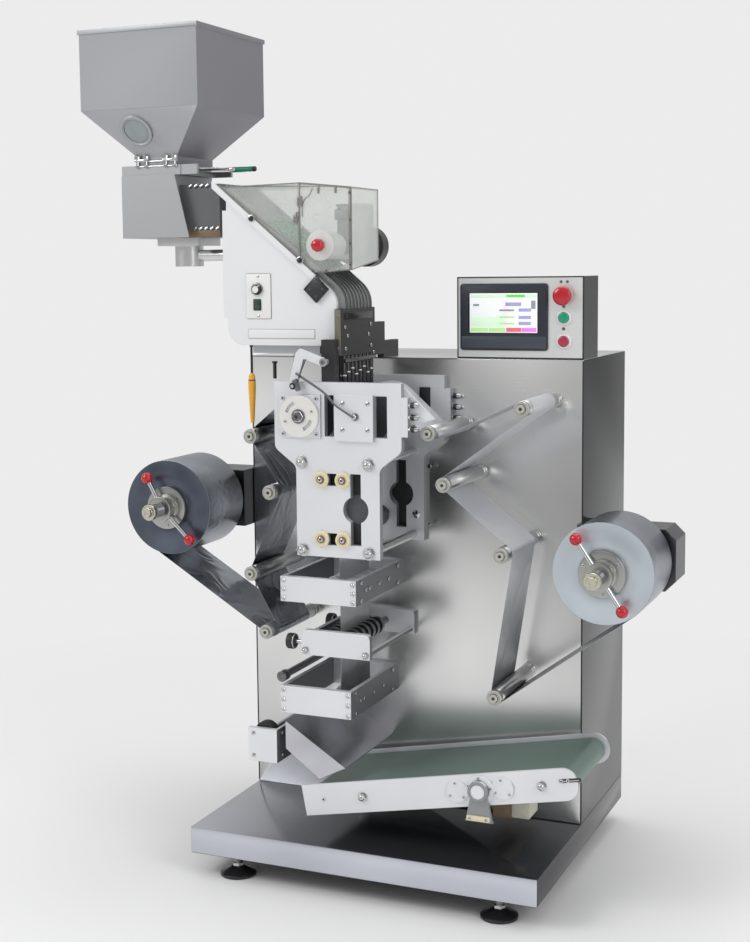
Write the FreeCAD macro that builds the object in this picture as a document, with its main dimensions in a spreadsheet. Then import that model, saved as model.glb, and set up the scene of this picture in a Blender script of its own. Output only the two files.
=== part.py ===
import FreeCAD, Part
import Sketcher
import math
import os

# Tablet strip packing machine: a cabinet on a plinth, a sealing head on its face, two film reels,
# guide rollers, three stations below the head, a belt conveyor and a hopper with a lane feeder.
# Millimetres. The origin is on the floor below the middle of the whole machine, X runs to the
# right along the front, Y runs back and Z runs up. Sheet values for places across the front count
# from the cabinet's left edge, values called reach count forwards from the cabinet's face. The
# head, the stations and the lever count both ways from the nip of the two sealing rollers, and the
# nip hangs below the cabinet's top; another rise or drop counts from what carries the piece.

sizes = {
    "cabinet_left": -375, "cabinet_width": 800, "cabinet_depth": 373, "cabinet_height": 1031,
    "door_margin": 40, "door_thickness": 4, "vent_width": 180, "vent_height": 8, "vent_pitch": 24,
    "vent_count": 6, "vent_drop": 120, "base_depth": 710, "base_thickness": 58, "base_corner": 16,
    "foot_height": 52, "foot_radius": 40, "foot_rim": 7, "foot_dome": 13, "foot_stem": 8,
    "foot_inset_side": 95, "foot_inset_front": 45, "foot_inset_back": 45, "box_width": 287,
    "box_height": 179, "box_depth": 117, "screen_inset": 8, "screen_rise": 18, "screen_width": 200,
    "screen_height": 146, "screen_proud": 7, "display_width": 154, "display_height": 86,
    "display_low": 39, "display_sunk": 1.5, "button_inset": 44, "button_ring": 15, "button_cap": 11,
    "button_proud": 6, "start_rise": 90, "stop_rise": 39, "mushroom_rise": 138,
    "mushroom_radius": 20, "mushroom_neck": 11, "mushroom_proud": 26, "mushroom_rim": 21,
    "mushroom_flat": 12, "roller_radius": 16, "roller_bore": 6.05, "pin_radius": 6, "pin_head": 9,
    "pin_head_depth": 6, "roller_front": 252, "roller_back": 14, "pin_flange": 14,
    "pin_flange_depth": 8, "pin_play": 1, "web_width": 160, "web_middle": 140, "web_thickness": 0.4,
    "web_gap": 0.3, "nip_across": 320, "nip_drop": 111, "nip_spacing": 126, "seal_face": 164,
    "seal_shaft": 12, "seal_bore": 12.05, "seal_shaft_end": 2, "disc_radius": 45,
    "disc_thickness": 6, "disc_gap": 5, "disc_bolt": 9, "disc_bolt_depth": 8, "head_reach": 276,
    "head_plate": 16, "head_left": -125, "head_right": 168, "head_top": 73, "head_bar": 27,
    "shoulder_drop": 70, "waist_drop": 108, "head_waist": 50, "head_round": 20, "head_low": -301,
    "window_left": -7, "window_right": 136, "window_low": -42, "slide_width": 85, "cover_width": 89,
    "cover_height": 98, "cover_low": -50, "cover_thickness": 8, "tie_radius": 9, "tie_stud": 5.8,
    "tie_hole": 6, "nut_radius": 11, "nut_depth": 8, "tie_tip": 6, "tie_left": -61, "tie_right": 93,
    "tie_high": -99, "tie_low": -288, "slot_half": 12, "slot_low": -273, "slot_high": -120,
    "slot_eye": 29, "slot_eye_height": -197, "nylon_radius": 17, "nylon_depth": 8,
    "nylon_left": -15, "nylon_right": 35, "nylon_high": -134, "nylon_low": -262,
    "nylon_slot_left": -2, "nylon_slot_right": 19, "nylon_slot_half": 13, "draw_radius": 25,
    "draw_height": -240, "draw_gap": 1, "draw_shaft": 8, "draw_bore": 8.05, "draw_hole": 8,
    "disc_slot_near": 25, "disc_slot_far": 33, "disc_slot_start": 110, "disc_slot_turn": 55,
    "bearing_width": 96, "bearing_height": 92, "bearing_thickness": 4, "guard_start": 150,
    "guard_corner": 162, "guard_tip": 236, "guard_foot": 180, "guard_top": 70,
    "guard_tip_height": 0, "guard_foot_height": -16, "guard_thickness": 6, "spring_block_width": 14,
    "spring_block_low": -38, "spring_block_high": 44, "spring_bolt_radius": 5,
    "spring_bolt_reach": 18, "spring_bolt_pitch": 25, "post_left": -20, "post_width": 30,
    "post_rise": 89, "post_thickness": 24, "post_drop": 21, "lever_width": 18, "lever_thickness": 8,
    "lever_gap": 4, "lever_round": 8, "lever_inner": 12.6, "lever_pin": 6, "lever_pin_proud": 4,
    "lever_pivot_height": 115, "lever_pivot_across": -8, "lever_corner_across": -58,
    "lever_corner_height": 135, "lever_end_across": -76, "lever_end_height": 64, "reel_front": 230,
    "reel_core": 38, "spindle_radius": 15, "spindle_bore": 15.05, "spindle_front": 330,
    "spindle_back": 40, "clamp_radius": 49, "clamp_thickness": 12, "hub_radius": 30,
    "hub_depth": 30, "grip_rod": 5, "grip_ball": 13, "grip_reach": 86, "grip_sunk": 2,
    "left_grip_high": 113, "left_grip_low": -41, "right_grip_high": 121, "right_grip_low": -53,
    "left_roll_out": 100, "left_roll_height": -222, "left_roll_radius": 107, "right_roll_out": 103,
    "right_roll_height": -305, "right_roll_radius": 105, "arm_reach": 212, "arm_half": 66,
    "arm_chamfer": 22, "arm_front": 48, "arm_depth": 96, "slitter_left": -117, "slitter_right": 61,
    "slitter_low": -405, "slitter_high": -350, "perforator_left": -69, "perforator_right": 92,
    "perforator_low": -519, "perforator_high": -464, "cutter_left": -121, "cutter_right": 47,
    "cutter_low": -653, "cutter_high": -593, "station_plate": 14, "station_side": 10,
    "station_bore": 8.05, "station_shaft": 8, "station_roller": 20, "station_gap": 1,
    "station_core": 12, "ring_width": 12, "rail_height": 30, "perforator_round": 12,
    "station_tie": 6, "station_tie_inset": 10, "wheel_knob": 16, "wheel_knob_width": 12,
    "wheel_knob_out": 17, "wheel_knob_rise": 26, "wheel_knob_near": 269, "wheel_knob_far": 60,
    "knob_stem": 4, "guide_rod_across": 190, "guide_rod_height": -581, "guide_rod_radius": 8,
    "guide_rod_cap": 12, "guide_rod_cap_width": 22, "strip_end": -658, "waste_left": 118,
    "waste_right": 188, "waste_low": 259, "waste_high": 334, "waste_thickness": 12,
    "waste_wheel": 26, "waste_wheel_width": 24, "waste_across": 150, "waste_height": 318,
    "waste_shaft": 6, "waste_bore": 6.05, "waste_side": 6, "waste_side_depth": 130, "waste_gap": 6,
    "chute_left": 207, "chute_high": 356, "chute_right": 349, "chute_low": 266, "chute_front": 270,
    "chute_sheet": 2, "chute_drop": 2.4, "chute_flange": 62, "belt_rise": 10.7, "belt_left": 286,
    "belt_left_height": 190, "belt_span": 556, "belt_roller": 24, "belt_thickness": 2,
    "belt_width": 232, "conveyor_reach": 276, "conveyor_plate": 6, "conveyor_back": 14,
    "conveyor_tail": 34, "conveyor_half": 34, "conveyor_nose": 35, "carry_radius": 8,
    "carry_near": 392, "carry_far": 791, "drive_across": 658, "boss_radius": 21, "boss_depth": 16,
    "bracket_top": 30, "bracket_width": 56, "bracket_drop": 64, "bracket_thickness": 10,
    "cap_radius": 24, "cap_depth": 3, "cap_spread": 50, "motor_radius": 32, "motor_reach": 132,
    "motor_gap": 1, "hopper_across": -112, "hopper_reach": 140, "hopper_width": 294,
    "hopper_depth": 315, "bin_height": 175, "cone_height": 100, "hopper_wall": 2,
    "throat_width": 100, "throat_depth": 165, "neck_height": 18, "frame_height": 22,
    "rim_height": 10, "rim_proud": 3, "glass_drop": 44, "glass_left": 25, "glass_ring": 38,
    "glass_hole": 30, "glass_proud": 4, "gate_rise": 10, "gate_thickness": 3, "gate_width": 150,
    "gate_guide": 8, "gate_gap": 0.3, "gate_out": 31, "frame_right": -52, "rail_right": -11,
    "grip_length": 60, "grip_width": 26, "grip_thickness": 9, "feed_left": -202, "feed_right": -66,
    "feed_guard": -32, "feed_guard_sheet": 3, "feed_rise": 237, "feed_height": 138,
    "feed_depth": 170, "vibrator_right": 34, "vibrator_height": 116, "vibrator_depth": 130,
    "column_across": -76, "column_reach": 150, "flange_half": 52, "flange_thickness": 18,
    "column_radius": 32, "column_length": 46, "arm_radius": 13, "arm_drop": 22, "body_left": 60,
    "body_rise": 36, "body_front": 225, "body_depth": 170, "body_round": 40, "panel_left": 107,
    "panel_width": 59, "panel_rise": 58, "panel_height": 97, "panel_thickness": 2.5,
    "dial_rise": 63, "dial_radius": 10, "dial_depth": 9, "switch_rise": 23, "switch_width": 15,
    "switch_height": 22, "switch_depth": 3, "sensor_across": 277, "sensor_rise": 121,
    "sensor_half": 30, "sensor_thickness": 4, "strip_left": 27, "strip_right": 290,
    "strip_high": 12, "strip_low": 25, "strip_thickness": 4, "side_flange": 10,
    "side_flange_low": 61, "side_flange_high": 293, "side_flange_depth": 20, "lane_count": 8,
    "lane_rib": 4, "lane_depth": 4, "track_slope": 40, "track_thickness": 15, "track_width": 150,
    "track_bend": 60, "track_right": 336, "track_start": 55, "bend_rise": 87, "track_drop": 8,
    "dome_sheet": 4, "dome_left": 36, "dome_high": 271, "dome_right": 358, "dome_top": 248,
    "dome_low": 70, "dome_middle": 236, "dome_middle_top": 260, "brush_across": 283,
    "brush_rise": 127, "brush_radius": 30, "brush_shaft": 6, "brush_play": 0.05, "brush_end": 10,
    "brush_hole": 12, "brush_disc": 6, "brush_knob": 14, "brush_motor_radius": 42,
    "brush_motor_depth": 112, "block_height": 100, "block_front": 236, "block_back": 50,
    "block_thickness": 15, "channel_height": 70, "channel_thickness": 16, "carrier_low": 8,
    "carrier_height": 73, "carrier_back": 8, "carrier_foot": 90, "carrier_foot_height": 37,
    "support_left": 110, "support_right": 272, "support_thickness": 18, "support_back": 60,
    "support_inset": 20, "wand_across": 104, "wand_reach": 190, "wand_radius": 3,
    "wand_grip_radius": 7, "wand_rod": 64, "wand_grip": 111,
}

doc = FreeCAD.newDocument("strip_packing_machine")
sheet = doc.addObject("Spreadsheet::Sheet", "Sizes")
for row, (name, value) in enumerate(sizes.items(), start=1):
    cell = "A" + str(row)
    sheet.set(cell, str(value))
    sheet.setAlias(cell, name)
doc.recompute()


class Size:
    """A number together with the sheet formula that gives it, so that sums keep both."""

    def __init__(self, number, formula):
        self.number = number
        self.formula = formula

    def __add__(self, other):
        return combined(self, "+", other, self.number + number_of(other))

    def __sub__(self, other):
        return combined(self, "-", other, self.number - number_of(other))

    def __mul__(self, other):
        return combined(self, "*", other, self.number * number_of(other))

    def __truediv__(self, other):
        return combined(self, "/", other, self.number / number_of(other))

    def __radd__(self, other):
        return combined(other, "+", self, number_of(other) + self.number)

    def __rsub__(self, other):
        return combined(other, "-", self, number_of(other) - self.number)

    def __rmul__(self, other):
        return combined(other, "*", self, number_of(other) * self.number)

    def __neg__(self):
        return 0 - self


def number_of(value):
    return value.number if isinstance(value, Size) else float(value)


def formula_of(value):
    return value.formula if isinstance(value, Size) else repr(float(value))


def combined(left, sign, right, number):
    return Size(number, "(" + formula_of(left) + " " + sign + " " + formula_of(right) + ")")


def tangent(degrees):
    number = math.tan(math.radians(degrees.number))
    return Size(number, "tan(" + degrees.formula + " * 1 deg)")


def cosine(degrees):
    number = math.cos(math.radians(degrees.number))
    return Size(number, "cos(" + degrees.formula + " * 1 deg)")


def sine(degrees):
    number = math.sin(math.radians(degrees.number))
    return Size(number, "sin(" + degrees.formula + " * 1 deg)")


def arctangent(ratio):
    number = math.degrees(math.atan(ratio.number))
    return Size(number, "(atan(" + ratio.formula + ") / 1 deg)")


class SheetSizes:
    """Each alias of the sheet, read as a Size."""

    def __getattr__(self, name):
        return Size(float(sizes[name]), "Sizes." + name)


size = SheetSizes()
face = size.base_depth / 2 - size.cabinet_depth
floor_plate = size.foot_height + size.base_thickness
cabinet_top = floor_plate + size.cabinet_height
nip_height = cabinet_top - size.nip_drop
body_low = cabinet_top + size.body_rise
bend_height = body_low + size.bend_rise
track_low = bend_height - size.track_drop
block_low = track_low - size.block_height
feed_low = body_low + size.feed_rise
feed_top = feed_low + size.feed_height
neck_low = feed_top + size.frame_height
throat_height = neck_low + size.neck_height
hopper_fold = throat_height + size.cone_height
nodes = []


def across(distance):
    """Place from the cabinet's left edge to the row's own X."""
    return size.cabinet_left + distance


def beside_nip(distance):
    """Place counted to the right from the nip of the two sealing rollers."""
    return across(size.nip_across + distance)


def over_nip(rise):
    """Height counted upwards from the nip."""
    return nip_height + rise


def ahead(reach):
    """Distance forwards of the cabinet's face to the row's own Y."""
    return face - reach


def bind(item, name, value):
    if isinstance(value, Size):
        item.setExpression(name, value.formula)
    else:
        item.setExpression(name, repr(float(value)))


def put(item, x, y, z):
    bind(item, "Placement.Base.x", x)
    bind(item, "Placement.Base.y", y)
    bind(item, "Placement.Base.z", z)
    return item


def node(label, item):
    """Gives the finished piece its name and puts it on the list of sub-parts."""
    item.Label = label
    nodes.append(item)
    return item


def block(x, y, z, width, depth, height):
    box = doc.addObject("Part::Box", "block")
    bind(box, "Length", width)
    bind(box, "Width", depth)
    bind(box, "Height", height)
    return put(box, x, y, z)


turns = {
    "X": FreeCAD.Rotation(FreeCAD.Vector(0, 1, 0), 90),
    "Y": FreeCAD.Rotation(FreeCAD.Vector(1, 0, 0), -90),
    "Z": FreeCAD.Rotation(),
}


def rod(x, y, z, radius, length, along="Y"):
    cylinder = doc.addObject("Part::Cylinder", "rod")
    bind(cylinder, "Radius", radius)
    bind(cylinder, "Height", length)
    cylinder.Placement = FreeCAD.Placement(FreeCAD.Vector(), turns[along])
    return put(cylinder, x, y, z)


def hexagon(x, y, z, radius, length):
    prism = doc.addObject("Part::Prism", "nut")
    prism.Polygon = 6
    bind(prism, "Circumradius", radius)
    bind(prism, "Height", length)
    prism.Placement = FreeCAD.Placement(FreeCAD.Vector(), turns["Y"])
    return put(prism, x, y, z)


def join(pieces):
    fused = doc.addObject("Part::MultiFuse", "joined")
    fused.Shapes = pieces
    fused.Refine = True
    return fused


def carve(base, tools):
    tool = tools[0] if len(tools) == 1 else join(tools)
    cut = doc.addObject("Part::Cut", "carved")
    cut.Base = base
    cut.Tool = tool
    cut.Refine = True
    return cut


def group(pieces):
    compound = doc.addObject("Part::Compound", "group")
    compound.Links = pieces
    return compound


def new_sketch(body, side):
    sketch = body.newObject("Sketcher::SketchObject", "sketch")
    planes = [plane for plane in body.Origin.OriginFeatures if plane.Role == side + "_Plane"]
    sketch.AttachmentSupport = [(planes[0], "")]
    sketch.MapMode = "FlatFace"
    return sketch


def pin_point(sketch, item, end, x, y):
    """Holds one point of a sketch at two sheet distances from the sketch's origin."""
    for kind, value in (("DistanceX", x), ("DistanceY", y)):
        index = sketch.addConstraint(
            Sketcher.Constraint(kind, -1, 1, item, end, number_of(value)))
        if isinstance(value, Size):
            sketch.setExpression("Constraints[" + str(index) + "]", value.formula)


def draw_outline(sketch, corners):
    """Closed outline of straight lines through the corners."""
    first = sketch.GeometryCount
    vectors = [FreeCAD.Vector(number_of(x), number_of(y), 0) for x, y in corners]
    for start, end in zip(vectors, vectors[1:] + vectors[:1]):
        sketch.addGeometry(Part.LineSegment(start, end), False)
    for index in range(len(corners)):
        following = (index + 1) % len(corners)
        sketch.addConstraint(
            Sketcher.Constraint("Coincident", first + index, 2, first + following, 1))
    for index, (x, y) in enumerate(corners):
        pin_point(sketch, first + index, 1, x, y)


def draw_circles(sketch, circles):
    for x, y, radius in circles:
        centre = FreeCAD.Vector(number_of(x), number_of(y), 0)
        circle = Part.Circle(centre, FreeCAD.Vector(0, 0, 1), number_of(radius))
        item = sketch.addGeometry(circle, False)
        pin_point(sketch, item, 3, x, y)
        index = sketch.addConstraint(Sketcher.Constraint("Radius", item, number_of(radius)))
        if isinstance(radius, Size):
            sketch.setExpression("Constraints[" + str(index) + "]", radius.formula)


def plate(side, corners, start, thickness):
    """Outline on the XZ, YZ or XY side, padded backwards, rightwards or upwards from start."""
    body = doc.addObject("PartDesign::Body", "plate")
    sketch = new_sketch(body, side)
    draw_outline(sketch, corners)
    pad = body.newObject("PartDesign::Pad", "pad")
    pad.Profile = sketch
    pad.Reversed = side == "XZ"
    bind(pad, "Length", thickness)
    axis = {"XZ": "y", "YZ": "x", "XY": "z"}[side]
    bind(body, "Placement.Base." + axis, start)
    return body


def cut_through(body, side, outlines=(), circles=()):
    """Cuts outlines and circles right through a plate, and stops if nothing was cut away."""
    doc.recompute()
    before = body.Shape.Volume
    sketch = new_sketch(body, side)
    for outline in outlines:
        draw_outline(sketch, outline)
    draw_circles(sketch, circles)
    pocket = body.newObject("PartDesign::Pocket", "pocket")
    pocket.Profile = sketch
    pocket.Type = 1
    pocket.Midplane = True
    doc.recompute()
    if body.Shape.Volume > before - 1:
        raise RuntimeError("a pocket cut nothing")
    return body


def rounded(body, side, corners, radius):
    """Rounds the edges that stand on the named corners of a plate."""
    doc.recompute()
    base = body.Tip
    names = []
    for index, edge in enumerate(base.Shape.Edges, start=1):
        ends = [flat_point(side, vertex.Point) for vertex in edge.Vertexes]
        if len(ends) == 2 and near(ends[0], ends[1]):
            if any(near(ends[0], (number_of(x), number_of(y))) for x, y in corners):
                names.append("Edge" + str(index))
    if len(names) != len(corners):
        raise RuntimeError("a corner to round was not found")
    fillet = body.newObject("PartDesign::Fillet", "rounding")
    fillet.Base = (base, names)
    bind(fillet, "Radius", radius)
    return body


def flat_point(side, point):
    return {"XZ": (point.x, point.z), "YZ": (point.y, point.z), "XY": (point.x, point.y)}[side]


def near(first, second):
    return math.dist(first, second) < 0.001


def turned(x, y, z, profile, along="Y"):
    """Profile of (radius, distance along the axis) corners, turned about that axis."""
    body = doc.addObject("PartDesign::Body", "turned")
    sketch = new_sketch(body, "XY" if along == "Y" else "XZ")
    draw_outline(sketch, profile)
    revolution = body.newObject("PartDesign::Revolution", "revolution")
    revolution.Profile = sketch
    revolution.ReferenceAxis = (sketch, ["V_Axis"])
    revolution.Angle = 360
    return put(body, x, y, z)


def rectangle(left, low, right, high):
    return [(left, low), (right, low), (right, high), (left, high)]


def own_shape(shape):
    feature = doc.addObject("Part::Feature", "shape")
    feature.Shape = shape
    return feature


def inclined(item, axis, degrees):
    """Tilts a piece about an axis through its own corner by an angle of the sheet."""
    item.Placement = FreeCAD.Placement(
        item.Placement.Base, FreeCAD.Rotation(FreeCAD.Vector(*axis), number_of(degrees)))
    bind(item, "Placement.Rotation.Angle", degrees)
    return item


# Plinth on four levelling feet
def make_base():
    left = across(0)
    right = across(size.cabinet_width)
    front = -(size.base_depth / 2)
    back = size.base_depth / 2
    plinth = plate("XY", rectangle(left, front, right, back), size.foot_height, size.base_thickness)
    rounded(plinth, "XY", [(left, front), (right, front)], size.base_corner)
    node("base_plinth", plinth)
    profile = [
        (0, 0), (size.foot_radius, 0), (size.foot_radius, size.foot_rim),
        (size.foot_stem * 2, size.foot_rim + size.foot_dome),
        (size.foot_stem, size.foot_rim + size.foot_dome), (size.foot_stem, size.foot_height),
        (0, size.foot_height)]
    feet = []
    for x in (left + size.foot_inset_side, right - size.foot_inset_side):
        for y in (front + size.foot_inset_front, back - size.foot_inset_back):
            feet.append(turned(x, y, 0, profile, "Z"))
    node("levelling_feet", group(feet))


# Closed cabinet housing with a service door in its back
def make_cabinet():
    left = across(0)
    right = across(size.cabinet_width)
    back = size.base_depth / 2
    behind_door = back - size.door_thickness
    margin = size.door_margin
    housing = plate("XZ", rectangle(left, floor_plate, right, cabinet_top), face, size.cabinet_depth)
    opening = rectangle(
        left + margin, floor_plate + margin, right - margin, cabinet_top - margin)
    recess = block(
        left + margin, behind_door, floor_plate + margin, size.cabinet_width - margin * 2,
        size.door_thickness, size.cabinet_height - margin * 2)
    node("cabinet_housing", carve(housing, [recess]))
    door = plate("XZ", opening, behind_door, size.door_thickness)
    middle = (left + right) / 2
    half = size.vent_width / 2
    vents = []
    for row in range(sizes["vent_count"]):
        low = cabinet_top - size.vent_drop - size.vent_pitch * row
        vents.append(rectangle(middle - half, low, middle + half, low + size.vent_height))
    node("cabinet_rear_door", cut_through(door, "XZ", vents))


# Control box with touch screen and three buttons
def make_controls():
    front = ahead(0)
    box_left = across(size.cabinet_width - size.box_width)
    node("control_box", block(
        box_left, front, cabinet_top, size.box_width, size.box_depth, size.box_height))
    left = box_left + size.screen_inset
    right = left + size.screen_width
    low = cabinet_top + size.screen_rise
    screen = plate("XZ", rectangle(left, low, right, low + size.screen_height),
                   front - size.screen_proud, size.screen_proud)
    margin = (size.screen_width - size.display_width) / 2
    window = block(
        left + margin, front - size.screen_proud, low + size.display_low,
        size.display_width, size.display_sunk, size.display_height)
    node("touch_screen", carve(screen, [window]))
    x = across(size.cabinet_width - size.button_inset)
    flat_cap = [
        (0, 0), (size.button_ring, 0), (size.button_ring, -size.button_proud / 2),
        (size.button_cap, -size.button_proud / 2), (size.button_cap, -size.button_proud),
        (0, -size.button_proud)]
    buttons = [
        turned(x, front, cabinet_top + rise, flat_cap) for rise in (size.start_rise, size.stop_rise)]
    proud = size.mushroom_proud
    mushroom = [
        (0, 0), (size.button_ring, 0), (size.button_ring, -size.button_proud),
        (size.mushroom_neck, -size.button_proud), (size.mushroom_neck, -(proud / 2)),
        (size.mushroom_radius, -(proud / 2)), (size.mushroom_radius, -size.mushroom_rim),
        (size.mushroom_flat, -proud), (0, -proud)]
    buttons.append(turned(x, front, cabinet_top + size.mushroom_rise, mushroom))
    node("control_buttons", group(buttons))


# Guide rollers, each with its distance from the cabinet's own side, its rise over the nip and
# the side of the film that it lies on: 1 where the film turns left round it, -1 where it turns
# right. The entry roller is placed from the nip.
left_rollers = [
    (name, across(distance), over_nip(rise), turn) for name, distance, rise, turn in (
        ("left_lower_roller", 153, -484, 1),
        ("left_deflector_roller", 118, -356, -1),
        ("left_middle_roller", 166, -173, 1),
        ("left_upper_roller", 122, -51, -1))]
right_rollers = [
    (name, across(size.cabinet_width - distance), over_nip(rise), turn)
    for name, distance, rise, turn in (
        ("right_lower_roller", 120, -579, -1),
        ("right_middle_roller", 106, -279, 1),
        ("right_inner_roller", 231, -138, -1),
        ("right_upper_roller", 62, 25, 1))]
right_rollers.append(("right_entry_roller", beside_nip(216), over_nip(-32), -1))


def make_guide_rollers():
    tube = [
        (size.roller_bore, -size.roller_back), (size.roller_radius, -size.roller_back),
        (size.roller_radius, -size.roller_front), (size.roller_bore, -size.roller_front)]
    flange = size.pin_flange_depth
    tip = size.roller_front + size.pin_play
    pin = [
        (0, 0), (size.pin_flange, 0), (size.pin_flange, -flange), (size.pin_radius, -flange),
        (size.pin_radius, -tip), (size.pin_head, -tip), (size.pin_head, -tip - size.pin_head_depth),
        (0, -tip - size.pin_head_depth)]
    pins = []
    for name, x, z, _ in left_rollers + right_rollers:
        node(name, turned(x, face, z, tube))
        pins.append(turned(x, face, z, pin))
    cap_back = size.roller_front - size.guide_rod_cap_width
    pins.append(turned(across(size.guide_rod_across), face, over_nip(size.guide_rod_height), [
        (0, 0), (size.pin_flange, 0), (size.pin_flange, -flange), (size.guide_rod_radius, -flange),
        (size.guide_rod_radius, -cap_back), (size.guide_rod_cap, -cap_back),
        (size.guide_rod_cap, -size.roller_front), (0, -size.roller_front)]))
    node("guide_roller_pins", group(pins))


# Film strips: tangent lines and arcs between rolls and rollers
def tangent_points(first, second):
    """Ends of the line that leaves one circle and meets the next, each on its own side."""
    x1, z1, r1, side1 = first
    x2, z2, r2, side2 = second
    length = math.hypot(x2 - x1, z2 - z1)
    along = math.atan2(z2 - z1, x2 - x1)
    turn = math.asin((side2 * r2 - side1 * r1) / length)
    heading = along - turn
    normal = (math.sin(heading), -math.cos(heading))
    start = (x1 + normal[0] * side1 * r1, z1 + normal[1] * side1 * r1)
    end = (x2 + normal[0] * side2 * r2, z2 + normal[1] * side2 * r2)
    return start, end


def film_wire(circles, shift):
    """Route of one face of the film; shift moves it sideways, to the left of its travel."""
    moved = [(x, z, r - side * shift, side) for x, z, r, side in circles]
    runs = [tangent_points(a, b) for a, b in zip(moved, moved[1:])]
    edges = []
    for index, (start, end) in enumerate(runs):
        edges.append(("line", start, end))
        if index + 1 < len(runs):
            x, z, r, side = moved[index + 1]
            following = runs[index + 1][0]
            from_angle = math.atan2(end[1] - z, end[0] - x)
            to_angle = math.atan2(following[1] - z, following[0] - x)
            sweep = (to_angle - from_angle) * side % (2 * math.pi)
            middle = from_angle + side * sweep / 2
            through = (x + r * math.cos(middle), z + r * math.sin(middle))
            edges.append(("arc", end, through, following))
    return edges


def space_point(point, y):
    return FreeCAD.Vector(point[0], y, point[1])


def film_solid(circles, y, width):
    """Strip of film between its two faces, as wide as the rollers' band."""
    half = size.web_thickness.number / 2
    left_face = film_wire(circles, half)
    right_face = film_wire(circles, -half)
    edges = []
    for route in (left_face, right_face):
        for edge in route:
            corners = [space_point(point, y) for point in edge[1:]]
            if edge[0] == "line":
                edges.append(Part.makeLine(*corners))
            else:
                edges.append(Part.Arc(*corners).toShape())
    for side in (0, -1):
        first = left_face[side][1 if side == 0 else -1]
        second = right_face[side][1 if side == 0 else -1]
        edges.append(Part.makeLine(space_point(first, y), space_point(second, y)))
    wire = Part.Wire(Part.__sortEdges__(edges))
    return Part.Face(wire).extrude(FreeCAD.Vector(0, width, 0))


def guide_circles(rollers):
    reach = size.roller_radius + size.web_gap + size.web_thickness / 2
    return [(x.number, number_of(z), reach.number, side) for _, x, z, side in rollers]


def roll_circle(side):
    """A film roll with the turn that the film leaves it by."""
    x = roll_axis(side).number
    z = over_nip(getattr(size, side + "_roll_height")).number
    radius = getattr(size, side + "_roll_radius") + size.web_gap + size.web_thickness / 2
    return x, z, radius.number


def roll_axis(side):
    """Place of a reel's axis, out from the cabinet's own side."""
    if side == "left":
        return across(-size.left_roll_out)
    return across(size.cabinet_width + size.right_roll_out)


def make_films():
    front = ahead(size.web_middle + size.web_width / 2).number
    width = size.web_width.number
    nip_x = across(size.nip_across)
    offset = size.nip_spacing / 2
    film_radius = offset - size.web_thickness / 2
    nip_z = nip_height.number
    left_seal = ((nip_x - offset).number, nip_z, film_radius.number, -1)
    right_seal = ((nip_x + offset).number, nip_z, film_radius.number, 1)
    left_route = [roll_circle("left") + (1,)] + guide_circles(left_rollers) + [left_seal]
    right_route = [roll_circle("right") + (-1,)] + guide_circles(right_rollers) + [right_seal]
    for name, route in (("left_film", left_route), ("right_film", right_route)):
        shape = film_solid(route + [falling_end(route[-1])], front, width)
        node(name, own_shape(shape))


def falling_end(seal):
    """End of the sealed strip, straight down from the film's tangent in the nip."""
    x, z, radius, side = seal
    return x - side * radius, over_nip(size.strip_end).number, 0.0, side


# Sealing head: two plates, two sealing rollers and what sits on the plates
def head_outline(top):
    left = beside_nip(size.head_left)
    right = beside_nip(size.head_right)
    inner_left = left + size.head_waist
    inner_right = right - size.head_waist
    shoulder = over_nip(-size.shoulder_drop)
    waist = over_nip(-size.waist_drop)
    low = over_nip(size.head_low)
    return [
        (inner_left, low), (inner_right, low), (inner_right, waist), (right, shoulder),
        (right, top), (left, top), (left, shoulder), (inner_left, waist)]


def head_steps():
    left = beside_nip(size.head_left)
    right = beside_nip(size.head_right)
    shoulder = over_nip(-size.shoulder_drop)
    waist = over_nip(-size.waist_drop)
    return [
        (left, shoulder), (left + size.head_waist, waist), (right, shoulder),
        (right - size.head_waist, waist)]


def tie_places():
    return [(beside_nip(x), z) for x in (size.tie_left, size.tie_right)
            for z in (over_nip(size.tie_high), over_nip(size.tie_low))]


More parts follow.
